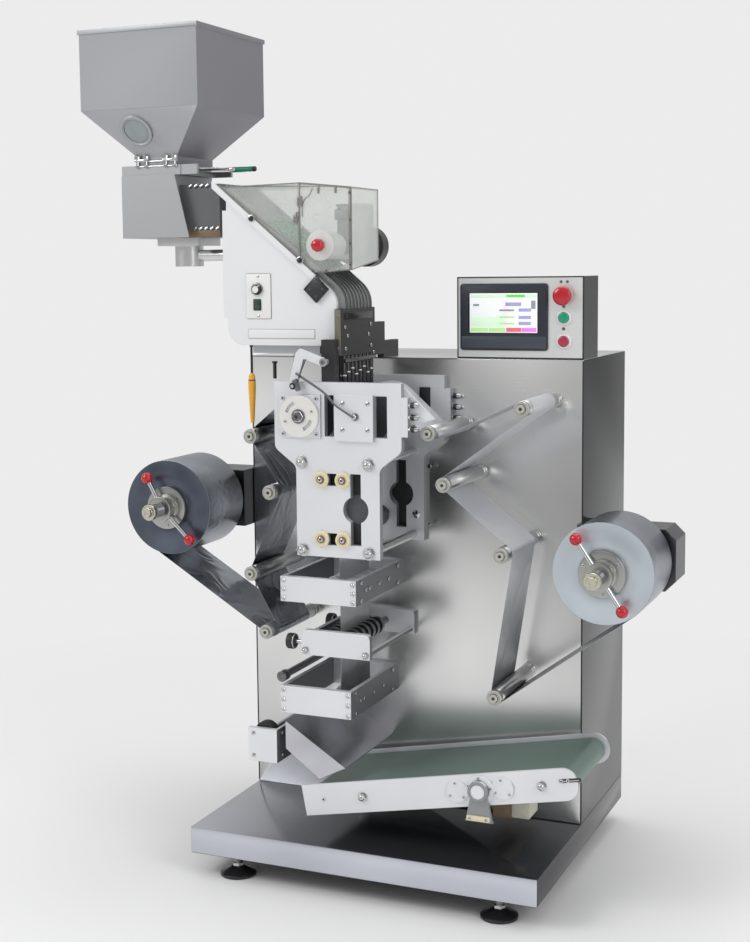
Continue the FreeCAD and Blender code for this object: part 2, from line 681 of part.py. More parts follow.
def make_head_plates():
    top = over_nip(size.head_top) - size.head_bar
    nip = across(size.nip_across)
    offset = size.nip_spacing / 2
    slot_x = nip + offset
    slot = rectangle(
        slot_x - size.slot_half, over_nip(size.slot_low), slot_x + size.slot_half,
        over_nip(size.slot_high))
    eye = (slot_x, over_nip(size.slot_eye_height), size.slot_eye)
    stud_holes = [(x, z, size.tie_hole) for x, z in tie_places()]
    window = rectangle(
        beside_nip(size.window_left), over_nip(size.window_low), beside_nip(size.window_right), top + 1)
    nylon_slots = [
        rectangle(beside_nip(size.nylon_slot_left), z - size.nylon_slot_half,
                  beside_nip(size.nylon_slot_right), z + size.nylon_slot_half)
        for z in (over_nip(size.nylon_high), over_nip(size.nylon_low))]
    front = plate("XZ", head_outline(top), ahead(size.head_reach), size.head_plate)
    rounded(front, "XZ", head_steps(), size.head_round)
    bore = (nip - offset, nip_height, size.seal_bore)
    cut_through(front, "XZ", [window] + nylon_slots, stud_holes + [bore])
    cut_through(front, "XZ", [slot])
    cut_through(front, "XZ", [], [eye])
    draw_x = nip + size.draw_radius + size.draw_gap
    hole = size.draw_hole
    inner = size.head_reach - size.head_plate
    node("head_front_plate", carve(front, [
        rod(draw_x, ahead(inner + hole), over_nip(size.draw_height), size.draw_bore, hole)]))
    back = plate("XZ", head_outline(top), ahead(size.head_plate), size.head_plate)
    rounded(back, "XZ", head_steps(), size.head_round)
    bores = [bore, (nip + offset, nip_height, size.seal_bore)]
    cut_through(back, "XZ", [slot], bores)
    cut_through(back, "XZ", [], [eye])
    node("head_back_plate", carve(back, [
        rod(draw_x, ahead(size.head_plate), over_nip(size.draw_height), size.draw_bore, hole)]))
    width = size.head_right - size.head_left
    bars = [
        block(beside_nip(size.head_left), ahead(reach), top, width, size.head_plate, size.head_bar)
        for reach in (size.head_reach, size.head_plate)]
    node("head_bars", group(bars + spring_blocks() + [bearing_cover(), film_guard()]))


def bearing_cover():
    """Cover on the front plate, round the left sealing roller's shaft."""
    middle = beside_nip(-(size.nip_spacing / 2))
    front = size.head_reach + size.bearing_thickness
    cover = block(
        middle - size.bearing_width / 2, ahead(front), nip_height - size.bearing_height / 2,
        size.bearing_width, size.bearing_thickness, size.bearing_height)
    shaft = rod(middle, ahead(front), nip_height, size.seal_bore, size.bearing_thickness)
    return carve(cover, [shaft])


def film_guard():
    """Three-sided plate behind the front plate's right edge, beside the film's way in."""
    return plate("XZ", [
        (beside_nip(size.guard_start), over_nip(size.guard_foot_height)),
        (beside_nip(size.guard_foot), over_nip(size.guard_foot_height)),
        (beside_nip(size.guard_tip), over_nip(size.guard_tip_height)),
        (beside_nip(size.guard_corner), over_nip(size.guard_top)),
        (beside_nip(size.guard_start), over_nip(size.guard_top))],
        ahead(size.head_reach - size.head_plate), size.guard_thickness)


def make_head_details():
    top = over_nip(size.head_top) - size.head_bar
    nip = across(size.nip_across)
    offset = size.nip_spacing / 2
    inner = size.head_reach - size.head_plate
    front = size.head_reach
    right_axis = nip + offset
    slide = plate("XZ", rectangle(
        right_axis - size.slide_width / 2, over_nip(size.window_low),
        right_axis + size.slide_width / 2, top), ahead(front), size.head_plate)
    cut_through(slide, "XZ", [], [(right_axis, nip_height, size.seal_bore)])
    cover = block(
        right_axis - size.cover_width / 2, ahead(front + size.cover_thickness),
        over_nip(size.cover_low),
        size.cover_width, size.cover_thickness, size.cover_height)
    node("sliding_bearing_block", join([slide, cover]))
    bars = []
    for x, z in tie_places():
        profile = [
            (0, -size.head_plate), (size.tie_radius, -size.head_plate),
            (size.tie_radius, -inner), (size.tie_stud, -inner),
            (size.tie_stud, -front - size.nut_depth - size.tie_tip),
            (0, -front - size.nut_depth - size.tie_tip)]
        bar = turned(x, face, z, profile)
        nut = hexagon(x, ahead(front + size.nut_depth), z, size.nut_radius, size.nut_depth)
        bars.append(join([bar, nut]))
    node("head_tie_bars", group(bars))
    rollers = [
        rod(beside_nip(x), ahead(front + size.nylon_depth), z, size.nylon_radius, size.nylon_depth)
        for x in (size.nylon_left, size.nylon_right)
        for z in (over_nip(size.nylon_high), over_nip(size.nylon_low))]
    node("nylon_rollers", group(rollers))


def spring_blocks():
    """Block with three spring bolts at the right edge of each head plate."""
    springs = []
    for reach in (size.head_reach, size.head_plate):
        pieces = [block(
            beside_nip(size.head_right), ahead(reach), over_nip(size.spring_block_low),
            size.spring_block_width,
            size.head_plate, over_nip(size.spring_block_high) - over_nip(size.spring_block_low))]
        middle = (over_nip(size.spring_block_low) + over_nip(size.spring_block_high)) / 2
        for step in (-1, 0, 1):
            pieces.append(rod(
                beside_nip(size.head_right) + size.spring_block_width,
                ahead(reach) + size.head_plate / 2, middle + size.spring_bolt_pitch * step,
                size.spring_bolt_radius, size.spring_bolt_reach, "X"))
        springs.append(join(pieces))
    return springs


# Roller beside the strip under the nip, its shaft in both head plates
def make_lower_roller():
    hole = size.draw_hole - size.pin_play
    near_shaft = size.head_reach - size.head_plate + hole
    far_shaft = size.head_plate - hole
    near_end = size.web_middle + size.web_width / 2
    far_end = size.web_middle - size.web_width / 2
    x = beside_nip(size.draw_radius + size.draw_gap)
    node("lower_head_roller", turned(x, face, over_nip(size.draw_height), [
        (0, -far_shaft), (size.draw_shaft, -far_shaft), (size.draw_shaft, -far_end),
        (size.draw_radius, -far_end), (size.draw_radius, -near_end),
        (size.draw_shaft, -near_end), (size.draw_shaft, -near_shaft), (0, -near_shaft)]))


def make_sealing_rollers():
    nip = across(size.nip_across)
    offset = size.nip_spacing / 2
    seal_radius = offset - size.web_thickness - size.web_gap
    half_face = size.seal_face / 2
    near_end = size.web_middle + half_face
    far_end = size.web_middle - half_face
    disc_back = size.head_reach + size.disc_gap
    for side, name, end in ((-1, "left_sealing_roller", disc_back),
                            (1, "right_sealing_roller", size.head_reach - size.seal_shaft_end)):
        profile = [
            (0, -size.seal_shaft_end), (size.seal_shaft, -size.seal_shaft_end),
            (size.seal_shaft, -far_end), (seal_radius, -far_end), (seal_radius, -near_end),
            (size.seal_shaft, -near_end), (size.seal_shaft, -end), (0, -end)]
        node(name, turned(nip + offset * side, face, nip_height, profile))
    disc_front = disc_back + size.disc_thickness
    profile = [
        (0, -disc_back), (size.disc_radius, -disc_back), (size.disc_radius, -disc_front),
        (size.disc_bolt, -disc_front), (size.disc_bolt, -disc_front - size.disc_bolt_depth),
        (0, -disc_front - size.disc_bolt_depth)]
    disc = turned(nip - offset, face, nip_height, profile)
    node("timing_disc", cut_through(disc, "XZ", [
        arc_slot(size.disc_slot_start + half_turn) for half_turn in (0, 180)]))


def arc_slot(start):
    """Outline of a slot that runs round the disc between two radii."""
    steps = 6
    turns_on = [start + size.disc_slot_turn * step / steps for step in range(steps + 1)]
    far = [(size.disc_slot_far * cosine(turn), size.disc_slot_far * sine(turn)) for turn in turns_on]
    near_side = [
        (size.disc_slot_near * cosine(turn), size.disc_slot_near * sine(turn)) for turn in turns_on]
    return far + near_side[::-1]


# Posts over the head, with the rocker lever and its rod
def make_rocker():
    inner = size.head_reach - size.head_plate
    half = size.lever_width / 2
    pivot = (beside_nip(size.lever_pivot_across), over_nip(size.lever_pivot_height))
    corner = (beside_nip(size.lever_corner_across), over_nip(size.lever_corner_height))
    end = (beside_nip(size.lever_end_across), over_nip(size.lever_end_height))
    outline = [
        (pivot[0] + half, pivot[1] - half), (pivot[0] + half, pivot[1] + half),
        (corner[0], corner[1] + half), (corner[0] - half, corner[1]),
        (end[0] - half, end[1]), (end[0] + half, end[1]),
        (corner[0] + half, corner[1] - size.lever_inner)]
    front = size.head_reach + size.lever_gap + size.lever_thickness
    lever = plate("XZ", outline, ahead(front), size.lever_thickness)
    rounded(lever, "XZ", outline[:2] + outline[4:6], size.lever_round)
    tip = front + size.lever_pin_proud
    pin = rod(pivot[0], ahead(tip), pivot[1], size.lever_pin, tip - inner)
    node("rocker_lever", join([lever, pin]))


# Film reels on arms at the cabinet's sides
def make_reel(side):
    x = roll_axis(side)
    z = over_nip(getattr(size, side + "_roll_height"))
    radius = getattr(size, side + "_roll_radius")
    roll_front = size.reel_front
    roll_back = roll_front - size.web_width
    flange = size.clamp_thickness
    spindle = [
        (0, size.spindle_back), (size.spindle_radius, size.spindle_back),
        (size.spindle_radius, -roll_back + flange), (size.clamp_radius, -roll_back + flange),
        (size.clamp_radius, -roll_back), (size.spindle_radius, -roll_back),
        (size.spindle_radius, -size.spindle_front), (0, -size.spindle_front)]
    pieces = [turned(x, face, z, spindle)]
    roll = [
        (size.reel_core, -roll_back), (radius, -roll_back), (radius, -roll_front),
        (size.reel_core, -roll_front)]
    node(side + "_film_roll", turned(x, face, z, roll))
    hub_front = roll_front + flange + size.hub_depth
    hub = turned(x, face, z, [
        (0, -roll_front), (size.clamp_radius, -roll_front),
        (size.clamp_radius, -roll_front - flange), (size.hub_radius, -roll_front - flange),
        (size.hub_radius, -hub_front), (0, -hub_front)])
    grip_reach = roll_front + flange + size.hub_depth / 2
    pieces.append(hub)
    start = size.hub_radius - size.grip_sunk
    for turn in (getattr(size, side + "_grip_high"), getattr(size, side + "_grip_low")):
        stick = doc.addObject("Part::Cylinder", "stick")
        bind(stick, "Radius", size.grip_rod)
        bind(stick, "Height", size.grip_reach - start)
        inclined(stick, (0, 1, 0), 90 - turn)
        put(stick, x + start * cosine(turn), ahead(grip_reach), z + start * sine(turn))
        pieces.append(stick)
        ball = doc.addObject("Part::Sphere", "ball")
        bind(ball, "Radius", size.grip_ball)
        inclined(ball, (0, 1, 0), 90 - turn)
        middle = size.grip_reach + size.grip_ball - size.grip_sunk
        put(ball, x + middle * cosine(turn), ahead(grip_reach), z + middle * sine(turn))
        pieces.append(ball)
    node(side + "_reel_spindle", join(pieces))


def make_reel_arm(side, near_edge, way):
    x = roll_axis(side)
    z = over_nip(getattr(size, side + "_roll_height"))
    half = size.arm_half
    far = near_edge + size.arm_reach * way
    cut = size.arm_chamfer
    outline = [
        (near_edge, z - half), (far - cut * way, z - half), (far, z - half + cut),
        (far, z + half - cut), (far - cut * way, z + half), (near_edge, z + half)]
    arm = plate("XZ", outline, ahead(size.arm_front), size.arm_depth)
    return cut_through(arm, "XZ", [], [(x, z, size.spindle_bore)])


# Stations below the head, each a frame round the strip with two shafts
def station_frame(left, right, low, high):
    """Front plate, back plate and a plate on each side."""
    front = size.head_reach
    depth = size.station_plate
    side = size.station_side
    return join([
        block(left, ahead(front), low, right - left, depth, high - low),
        block(left, ahead(depth), low, right - left, depth, high - low),
        block(left, ahead(front - depth), low, side, front - depth * 2, high - low),
        block(right - side, ahead(front - depth), low, side, front - depth * 2, high - low)])


def perforator_frame(left, right, low, high):
    """Round-shouldered plates on two tie rods, with a rail that carries two small handwheels."""
    front = size.head_reach
    depth = size.station_plate
    pieces = []
    for reach in (front, depth):
        side = plate("XZ", rectangle(left, low, right, high), ahead(reach), depth)
        pieces.append(rounded(side, "XZ", [(left, high), (right, high)], size.perforator_round))
    inset = size.station_tie_inset
    for x in (left + inset, right - inset):
        pieces.append(rod(x, ahead(front - depth), low + inset, size.station_tie, front - depth * 2))
    middle = low + size.wheel_knob_rise
    pieces.append(block(
        left, ahead(front - depth), middle - size.rail_height / 2, size.station_side,
        front - depth * 2, size.rail_height))
    start = left - size.wheel_knob_out - size.wheel_knob_width
    for reach in (size.wheel_knob_near, size.wheel_knob_far):
        wheel = rod(start, ahead(reach), middle, size.wheel_knob, size.wheel_knob_width, "X")
        stem = rod(start, ahead(reach), middle, size.knob_stem, left - start, "X")
        pieces.append(join([wheel, stem]))
    return join(pieces)


def shaft_holes(places):
    depth = size.station_plate / 2
    inner = size.head_reach - size.station_plate
    holes = []
    for x, z in places:
        holes.append(rod(x, ahead(inner + depth), z, size.station_bore, depth))
        holes.append(rod(x, ahead(size.station_plate), z, size.station_bore, depth))
    return holes


def shaft_profile(rings):
    """Shaft in both plates with a barrel across the film and blades or rings on it."""
    depth = size.station_plate / 2 - 1
    near_end = size.head_reach - size.station_plate + depth
    far_end = size.station_plate - depth
    barrel_front = size.web_middle + size.web_width / 2
    barrel_back = size.web_middle - size.web_width / 2
    core = size.station_core
    gap = (size.web_width / rings - size.ring_width) / 2
    points = [(0, -far_end), (size.station_shaft, -far_end), (size.station_shaft, -barrel_back)]
    pitch = size.web_width / rings
    for index in range(rings):
        start = barrel_back + pitch * index
        points.append((core, -start))
        points.append((core, -start - gap))
        points.append((size.station_roller, -start - gap))
        points.append((size.station_roller, -start - gap - size.ring_width))
        points.append((core, -start - gap - size.ring_width))
    points.append((core, -barrel_front))
    points.append((size.station_shaft, -barrel_front))
    points.append((size.station_shaft, -near_end))
    points.append((0, -near_end))
    return points


def make_stations():
    nip = across(size.nip_across)
    offset = size.station_roller + size.station_gap
    slitter = station_frame(
        beside_nip(size.slitter_left), beside_nip(size.slitter_right), over_nip(size.slitter_low),
        over_nip(size.slitter_high))
    middle = (over_nip(size.slitter_low) + over_nip(size.slitter_high)) / 2
    knives = [turned(nip + offset * way, face, middle, shaft_profile(4)) for way in (-1, 1)]
    perforator = perforator_frame(
        beside_nip(size.perforator_left), beside_nip(size.perforator_right), over_nip(size.perforator_low),
        over_nip(size.perforator_high))
    middle = (over_nip(size.perforator_low) + over_nip(size.perforator_high)) / 2
    places = [(nip - offset, middle), (nip + offset, middle)]
    cutter = station_frame(
        beside_nip(size.cutter_left), beside_nip(size.cutter_right), over_nip(size.cutter_low), over_nip(size.cutter_high))
    node("station_frames", group([
        join([slitter] + knives), carve(perforator, shaft_holes(places)), cutter]))
    for (x, z), name in zip(places, ("left_perforating_shaft", "right_perforating_shaft")):
        node(name, turned(x, face, z, shaft_profile(6)))


def make_waste_puller():
    reach = size.head_reach
    thick = size.waste_thickness
    x = across(size.waste_across)
    front = block(
        across(size.waste_left), ahead(reach), size.waste_low,
        size.waste_right - size.waste_left, thick, size.waste_high - size.waste_low)
    pin = rod(x, ahead(reach - thick), size.waste_height, size.waste_shaft, reach - thick)
    side = block(
        across(size.waste_right) - size.waste_side, ahead(reach - thick), size.waste_low,
        size.waste_side, size.waste_side_depth, size.waste_high - size.waste_low)
    node("waste_puller_frame", join([front, pin, side]))
    wheel_front = reach - thick - size.waste_gap
    wheel_back = wheel_front - size.waste_wheel_width
    node("waste_wheel", turned(x, face, size.waste_height, [
        (size.waste_bore, -wheel_back), (size.waste_wheel, -wheel_back),
        (size.waste_wheel, -wheel_front), (size.waste_bore, -wheel_front)]))


def make_chute():
    sheet_depth = size.chute_drop
    left = (across(size.chute_left), size.chute_high)
    right = (across(size.chute_right), size.chute_low)
    slope = plate("XZ", [
        left, right, (right[0], right[1] - sheet_depth), (left[0], left[1] - sheet_depth)],
        ahead(size.chute_front), size.chute_front)
    flange = plate("XZ", [
        left, right, (right[0] - size.chute_flange, right[1] - size.chute_flange / 2),
        (left[0], left[1] - size.chute_flange)], ahead(size.chute_front), size.chute_sheet)
    node("discharge_chute", join([slope, flange]))


# Belt conveyor, laid out level and then tilted about its left drum
def tilted(item, u, y, v):
    """Puts a piece at (u, v) along and above the belt's slope."""
    origin_x = across(size.belt_left)
    origin_z = size.belt_left_height
    rise = size.belt_rise
    bind(item, "Placement.Base.x", origin_x + u * cosine(rise) - v * sine(rise))
    bind(item, "Placement.Base.y", y)
    bind(item, "Placement.Base.z", origin_z + u * sine(rise) + v * cosine(rise))
    return item


def stadium(span, radius, y, width):
    """Long round-ended block about the two drums."""
    bar = block(0, 0, 0, span, width, radius * 2)
    inclined(bar, (0, 1, 0), -size.belt_rise)
    tilted(bar, size.belt_rise * 0, y, size.belt_rise * 0 - radius)
    ends = []
    for u in (span * 0, span):
        ends.append(tilted(rod(0, 0, 0, radius, width), u, y, span * 0))
    return join([bar] + ends)


def make_conveyor():
    plate_depth = size.conveyor_plate
    reach = size.conveyor_reach
    belt_front = size.web_middle + size.belt_width / 2
    nothing = size.belt_rise * 0
    plates = []
    for plate_reach in (reach, size.conveyor_back + plate_depth):
        side = plate("XZ", [
            (-size.conveyor_tail, -size.conveyor_half), (size.belt_span, -size.conveyor_half),
            (size.belt_span + size.conveyor_nose, -size.conveyor_half),
            (size.belt_span + size.conveyor_nose, size.conveyor_half),
            (-size.conveyor_tail, size.conveyor_half)], ahead(plate_reach), plate_depth)
        rounded(side, "XZ", [
            (size.belt_span + size.conveyor_nose, -size.conveyor_half),
            (size.belt_span + size.conveyor_nose, size.conveyor_half)],
            size.conveyor_half - 2)
        inclined(side, (0, 1, 0), -size.belt_rise)
        tilted(side, nothing, ahead(plate_reach), nothing)
        plates.append(side)
    x = across(size.drive_across)
    run = size.drive_across - size.belt_left
    slope_at_motor = size.belt_left_height + run * tangent(size.belt_rise)
    drive = [
        rod(x, ahead(reach + size.boss_depth), slope_at_motor, size.boss_radius, size.boss_depth)]
    for way in (-1, 1):
        spread = size.cap_spread * way
        drive.append(rod(
            x + spread, ahead(reach + size.cap_depth),
            slope_at_motor + spread * tangent(size.belt_rise), size.cap_radius, size.cap_depth))
    foot = slope_at_motor - size.bracket_drop
    drive.append(plate("XZ", [
        (x - size.bracket_width / 2, foot), (x + size.bracket_width / 2, foot),
        (x + size.bracket_top / 2, slope_at_motor), (x - size.bracket_top / 2, slope_at_motor)],
        ahead(reach + size.bracket_thickness), size.bracket_thickness))
    node("conveyor_side_plates", group([join([plates[0]] + drive), plates[1]]))
    belt_radius = size.belt_roller + size.belt_thickness
    outer = stadium(size.belt_span, belt_radius, ahead(belt_front), size.belt_width)
    inner = stadium(size.belt_span, size.belt_roller, ahead(belt_front), size.belt_width)
    node("conveyor_belt", carve(outer, [inner]))
    drum_front = reach - plate_depth
    drum_back = size.conveyor_back + plate_depth
    drums = []
    for u in (nothing, size.belt_span):
        drum = rod(0, 0, 0, size.belt_roller - size.web_gap, drum_front - drum_back)
        drums.append(tilted(drum, u, ahead(drum_front), nothing))
    rods = []
    for place in (size.carry_near, size.carry_far):
        u = (place - size.belt_left) / cosine(size.belt_rise)
        behind = rod(0, 0, 0, size.carry_radius, size.conveyor_back)
        between = rod(0, 0, 0, size.carry_radius, drum_front - drum_back)
        tip = rod(0, 0, 0, size.carry_radius, size.nut_depth)
        rods.append(tilted(behind, u, ahead(size.conveyor_back), nothing))
        rods.append(tilted(between, u, ahead(drum_front), nothing))
        rods.append(tilted(tip, u, ahead(reach + size.nut_depth), nothing))
    node("conveyor_rollers", group(drums + rods))
    below = (size.conveyor_half + size.motor_radius + size.motor_gap) / cosine(size.belt_rise)
    node("conveyor_gear_motor", rod(
        x, ahead(size.motor_reach), slope_at_motor - below, size.motor_radius, size.motor_reach))


# Hopper: open bin, cone with a sight glass and a slide gate
def make_hopper():
    x = across(size.hopper_across)
    middle = size.hopper_reach
    wall = size.hopper_wall
    left = x - size.hopper_width / 2
    front = ahead(middle + size.hopper_depth / 2)
    height = size.bin_height
    bin_outer = block(left, front, hopper_fold, size.hopper_width, size.hopper_depth, height)
    bin_inner = block(
        left + wall, front + wall, hopper_fold, size.hopper_width - wall * 2,
        size.hopper_depth - wall * 2, height)
    proud = size.rim_proud
    rim_low = hopper_fold + height - size.rim_height
    rim = block(
        left - proud, front - proud, rim_low, size.hopper_width + proud * 2,
        size.hopper_depth + proud * 2, size.rim_height)
    node("hopper_bin", carve(join([bin_outer, rim]), [bin_inner]))
    cone = carve(funnel(x, middle, wall * 0), [funnel(x, middle, wall)])
    neck_height = size.neck_height
    neck_left = x - size.throat_width / 2
    neck_front = ahead(middle + size.throat_depth / 2)
    neck = carve(
        block(neck_left, neck_front, neck_low, size.throat_width, size.throat_depth, neck_height),
        [block(neck_left + wall, neck_front + wall, neck_low, size.throat_width - wall * 2,
               size.throat_depth - wall * 2, neck_height)])
    node("hopper_cone", join([cone, neck, glass_ring(x, middle)]))


def glass_ring(x, middle):
    """Ring of the sight glass, flat on the cone's sloping front and half sunk in its wall."""
    run = (size.hopper_depth - size.throat_depth) / 2
    lean = arctangent(run / size.cone_height)
    place = ahead(middle + size.hopper_depth / 2 - run * size.glass_drop / size.cone_height)
    ring = turned(x, place, hopper_fold, [
        (size.glass_hole, 0), (size.glass_ring, 0), (size.glass_ring, size.glass_proud),
        (size.glass_hole, size.glass_proud)], "Z")
    inclined(ring, (1, 0, 0), 90 + lean)
    sunk = size.hopper_wall / 2
    return put(
        ring, x - size.glass_left, place + sunk * cosine(lean),
        hopper_fold - size.glass_drop + sunk * sine(lean))


def funnel(x, middle, inset):
    """Four-sided cone from the fold down to the throat, its faces moved in by inset."""
    body = doc.addObject("PartDesign::Body", "funnel")
    sketches = []
    levels = (
        (hopper_fold, size.hopper_width, size.hopper_depth),
        (throat_height, size.throat_width, size.throat_depth))
    for level, width, depth in levels:
        sketch = new_sketch(body, "XY")
        half_width = width / 2 - inset
        half_depth = depth / 2 - inset
        centre = ahead(middle)
        draw_outline(sketch, rectangle(
            x - half_width, centre - half_depth, x + half_width, centre + half_depth))
        bind(sketch, "AttachmentOffset.Base.z", level)
        sketches.append(sketch)
    loft = body.newObject("PartDesign::AdditiveLoft", "funnel")
    loft.Profile = sketches[0]
    loft.Sections = [sketches[1]]
    loft.Ruled = True
    return body


def make_gate():
    x = across(size.hopper_across)
    middle = ahead(size.hopper_reach)
    guide = size.gate_guide
    left = across(size.feed_left)
    width = size.feed_right - size.feed_left
    gate_height = feed_top + size.gate_rise
    frame_width = size.frame_right - size.feed_left
    frame = block(
        left, middle - size.feed_depth / 2, feed_top, frame_width, size.feed_depth,
        size.frame_height)
    gap = size.gate_gap
    slot = block(
        x - size.throat_width / 2 - gap, middle - size.gate_width / 2 - gap,
        gate_height - gap, size.frame_right - size.hopper_across + size.throat_width,
        size.gate_width + gap * 2, size.gate_thickness + gap * 2)
    inner = size.hopper_wall
    way = block(
        x - size.throat_width / 2 + inner, middle - size.gate_width / 2 + guide, feed_top,
        size.throat_width - inner * 2, size.gate_width - guide * 2, size.frame_height)
    box = block(
        left, middle - size.feed_depth / 2, feed_low, width, size.feed_depth, size.feed_height)
    front = middle - size.feed_depth / 2
    guard = plate("XZ", [
        (left, feed_low), (across(size.feed_guard), feed_low), (across(size.feed_right), feed_top),
        (left, feed_top)], front - size.feed_guard_sheet, size.feed_guard_sheet)
    rails = [
        block(across(size.frame_right), middle + place, feed_top,
              size.rail_right - size.frame_right, guide, size.frame_height)
        for place in (size.gate_width / 2 + gap, -(size.gate_width / 2) - gap - guide)]
    node("feeder_box", join([box, guard, carve(frame, [slot, way])] + rails))
    start = x - size.throat_width / 2
    end = across(size.gate_out)
    sheet_part = block(
        start, middle - size.gate_width / 2, gate_height, end - start, size.gate_width,
        size.gate_thickness)
    grip = block(
        end, middle - size.grip_width / 2, gate_height - size.grip_thickness / 3,
        size.grip_length, size.grip_width, size.grip_thickness)
    node("hopper_gate", join([sheet_part, grip]))


def make_feeder():
    middle = ahead(size.hopper_reach)
    node("vibrator_unit", block(
        across(size.feed_right), middle - size.vibrator_depth / 2, feed_low,
        size.vibrator_right - size.feed_right, size.vibrator_depth, size.vibrator_height))
    x = across(size.column_across)
    y = ahead(size.column_reach)
    half = size.flange_half
    flange_low = feed_low - size.flange_thickness
    column = [
        block(x - half, y - half, flange_low, half * 2, half * 2, size.flange_thickness),
        rod(x, y, flange_low - size.column_length, size.column_radius, size.column_length, "Z"),
        rod(x, y, flange_low - size.arm_drop, size.arm_radius,
            size.body_left - size.column_across, "X")]
    node("hopper_column", join(column))


def slope_height(x, inset):
    """Height of the lane sheet's line at X, inset square to its slope."""
    slope = size.track_slope
    centre_x = across(size.track_right) - size.track_bend
    radius = size.track_bend - inset
    return bend_height + radius / cosine(slope) - (x - centre_x) * tangent(slope)


def make_feeder_body():
    left = across(size.body_left)
    right = across(size.track_right) - size.track_thickness
    low = body_low
    inset = size.track_thickness
    outline = [
        (left, low), (right, low), (right, slope_height(right, inset)),
        (left, slope_height(left, inset))]
    body = plate("XZ", outline, ahead(size.body_front), size.body_depth)
    rounded(body, "XZ", [(left, low)], size.body_round)
    rounded(body, "XZ", [(right, slope_height(right, inset))], size.track_bend - inset)
    ends = [across(size.strip_left), across(size.strip_right)]
    strip = plate("XZ", [
        (ends[0], slope_height(ends[0], size.strip_low)),
        (ends[1], slope_height(ends[1], size.strip_low)),
        (ends[1], slope_height(ends[1], size.strip_high)),
        (ends[0], slope_height(ends[0], size.strip_high))],
        ahead(size.body_front + size.strip_thickness), size.strip_thickness)
    flange = block(
        left - size.side_flange, ahead(size.body_front), low + size.side_flange_low,
        size.side_flange, size.side_flange_depth, size.side_flange_high - size.side_flange_low)
    node("feeder_body", join([body, strip, flange]))


def make_feeder_controls():
    left = across(size.panel_left)
    middle = left + size.panel_width / 2
    low = body_low + size.panel_rise
    front = size.body_front + size.panel_thickness
    panel = block(
        left, ahead(front), low, size.panel_width, size.panel_thickness, size.panel_height)
    dial = rod(
        middle, ahead(front + size.dial_depth), low + size.dial_rise, size.dial_radius,
        size.dial_depth)
    switch = block(
        middle - size.switch_width / 2, ahead(front + size.switch_depth), low + size.switch_rise,
        size.switch_width, size.switch_depth, size.switch_height)
    x = across(size.sensor_across)
    z = body_low + size.sensor_rise
    half = size.sensor_half
    sensor = plate(
        "XZ", [(x - half, z), (x, z - half), (x + half, z), (x, z + half)],
        ahead(size.body_front + size.strip_thickness + size.sensor_thickness),
        size.sensor_thickness)
    node("feeder_control_plate", group([join([panel, dial, switch]), sensor]))


def lane_sheet(reach, width, outer, inner):
    """Sheet between two insets from the lanes' face: down the slope, round the bend, then down."""
    start = across(size.track_start)
    outer_x = across(size.track_right) - outer
    inner_x = across(size.track_right) - inner
    outline = [
        (outer_x, track_low), (outer_x, slope_height(outer_x, outer)),
        (start, slope_height(start, outer)), (start, slope_height(start, inner)),
        (inner_x, slope_height(inner_x, inner)), (inner_x, track_low)]
    sheet_body = plate("XZ", outline, ahead(reach), width)
    rounded(sheet_body, "XZ", [outline[1]], size.track_bend - outer)
    return rounded(sheet_body, "XZ", [outline[4]], size.track_bend - inner)


def make_lane_track():
    nothing = size.track_thickness * 0
    front = size.web_middle + size.track_width / 2
    track = lane_sheet(front, size.track_width, nothing, size.track_thickness)
    count = sizes["lane_count"]
    rib = size.lane_rib
    pitch = (size.track_width - rib) / count
    lanes = [
        lane_sheet(front - rib - pitch * lane, pitch - rib, nothing, size.lane_depth)
        for lane in range(count)]
    node("lane_track", carve(track, lanes))


def make_dome():
    wall = size.dome_sheet
    left = across(size.dome_left)
    right = across(size.dome_right)
    middle = across(size.dome_middle)
    inset = size.track_thickness
    low = bend_height + size.dome_low
    slope = size.track_slope
    centre_x = across(size.track_right) - size.track_bend
    below_low = size.track_bend
    foot = centre_x + ((size.track_bend - inset) / cosine(slope) - size.dome_low) / tangent(slope)
    left_top = bend_height + size.dome_high
    middle_top = bend_height + size.dome_middle_top
    right_top = bend_height + size.dome_top
    outer = plate("XZ", [
        (left, slope_height(left, inset)), (foot, low), (right, low), (right, right_top),
        (middle, middle_top), (left, left_top)], ahead(size.body_front), size.body_depth)
    inner = plate("XZ", [
        (left - wall, slope_height(left, inset) - below_low), (foot, low - below_low),
        (right - wall, low - below_low), (right - wall, right_top - wall),
        (middle, middle_top - wall), (left - wall, left_top - wall)],
        ahead(size.body_front) + wall, size.body_depth - wall * 2)
    shaft = rod(
        across(size.brush_across), ahead(size.body_front - size.body_depth + wall * 2),
        bend_height + size.brush_rise, size.brush_shaft + size.pin_play * 2, wall * 4)
    node("clear_dome", carve(outer, [inner, shaft]))


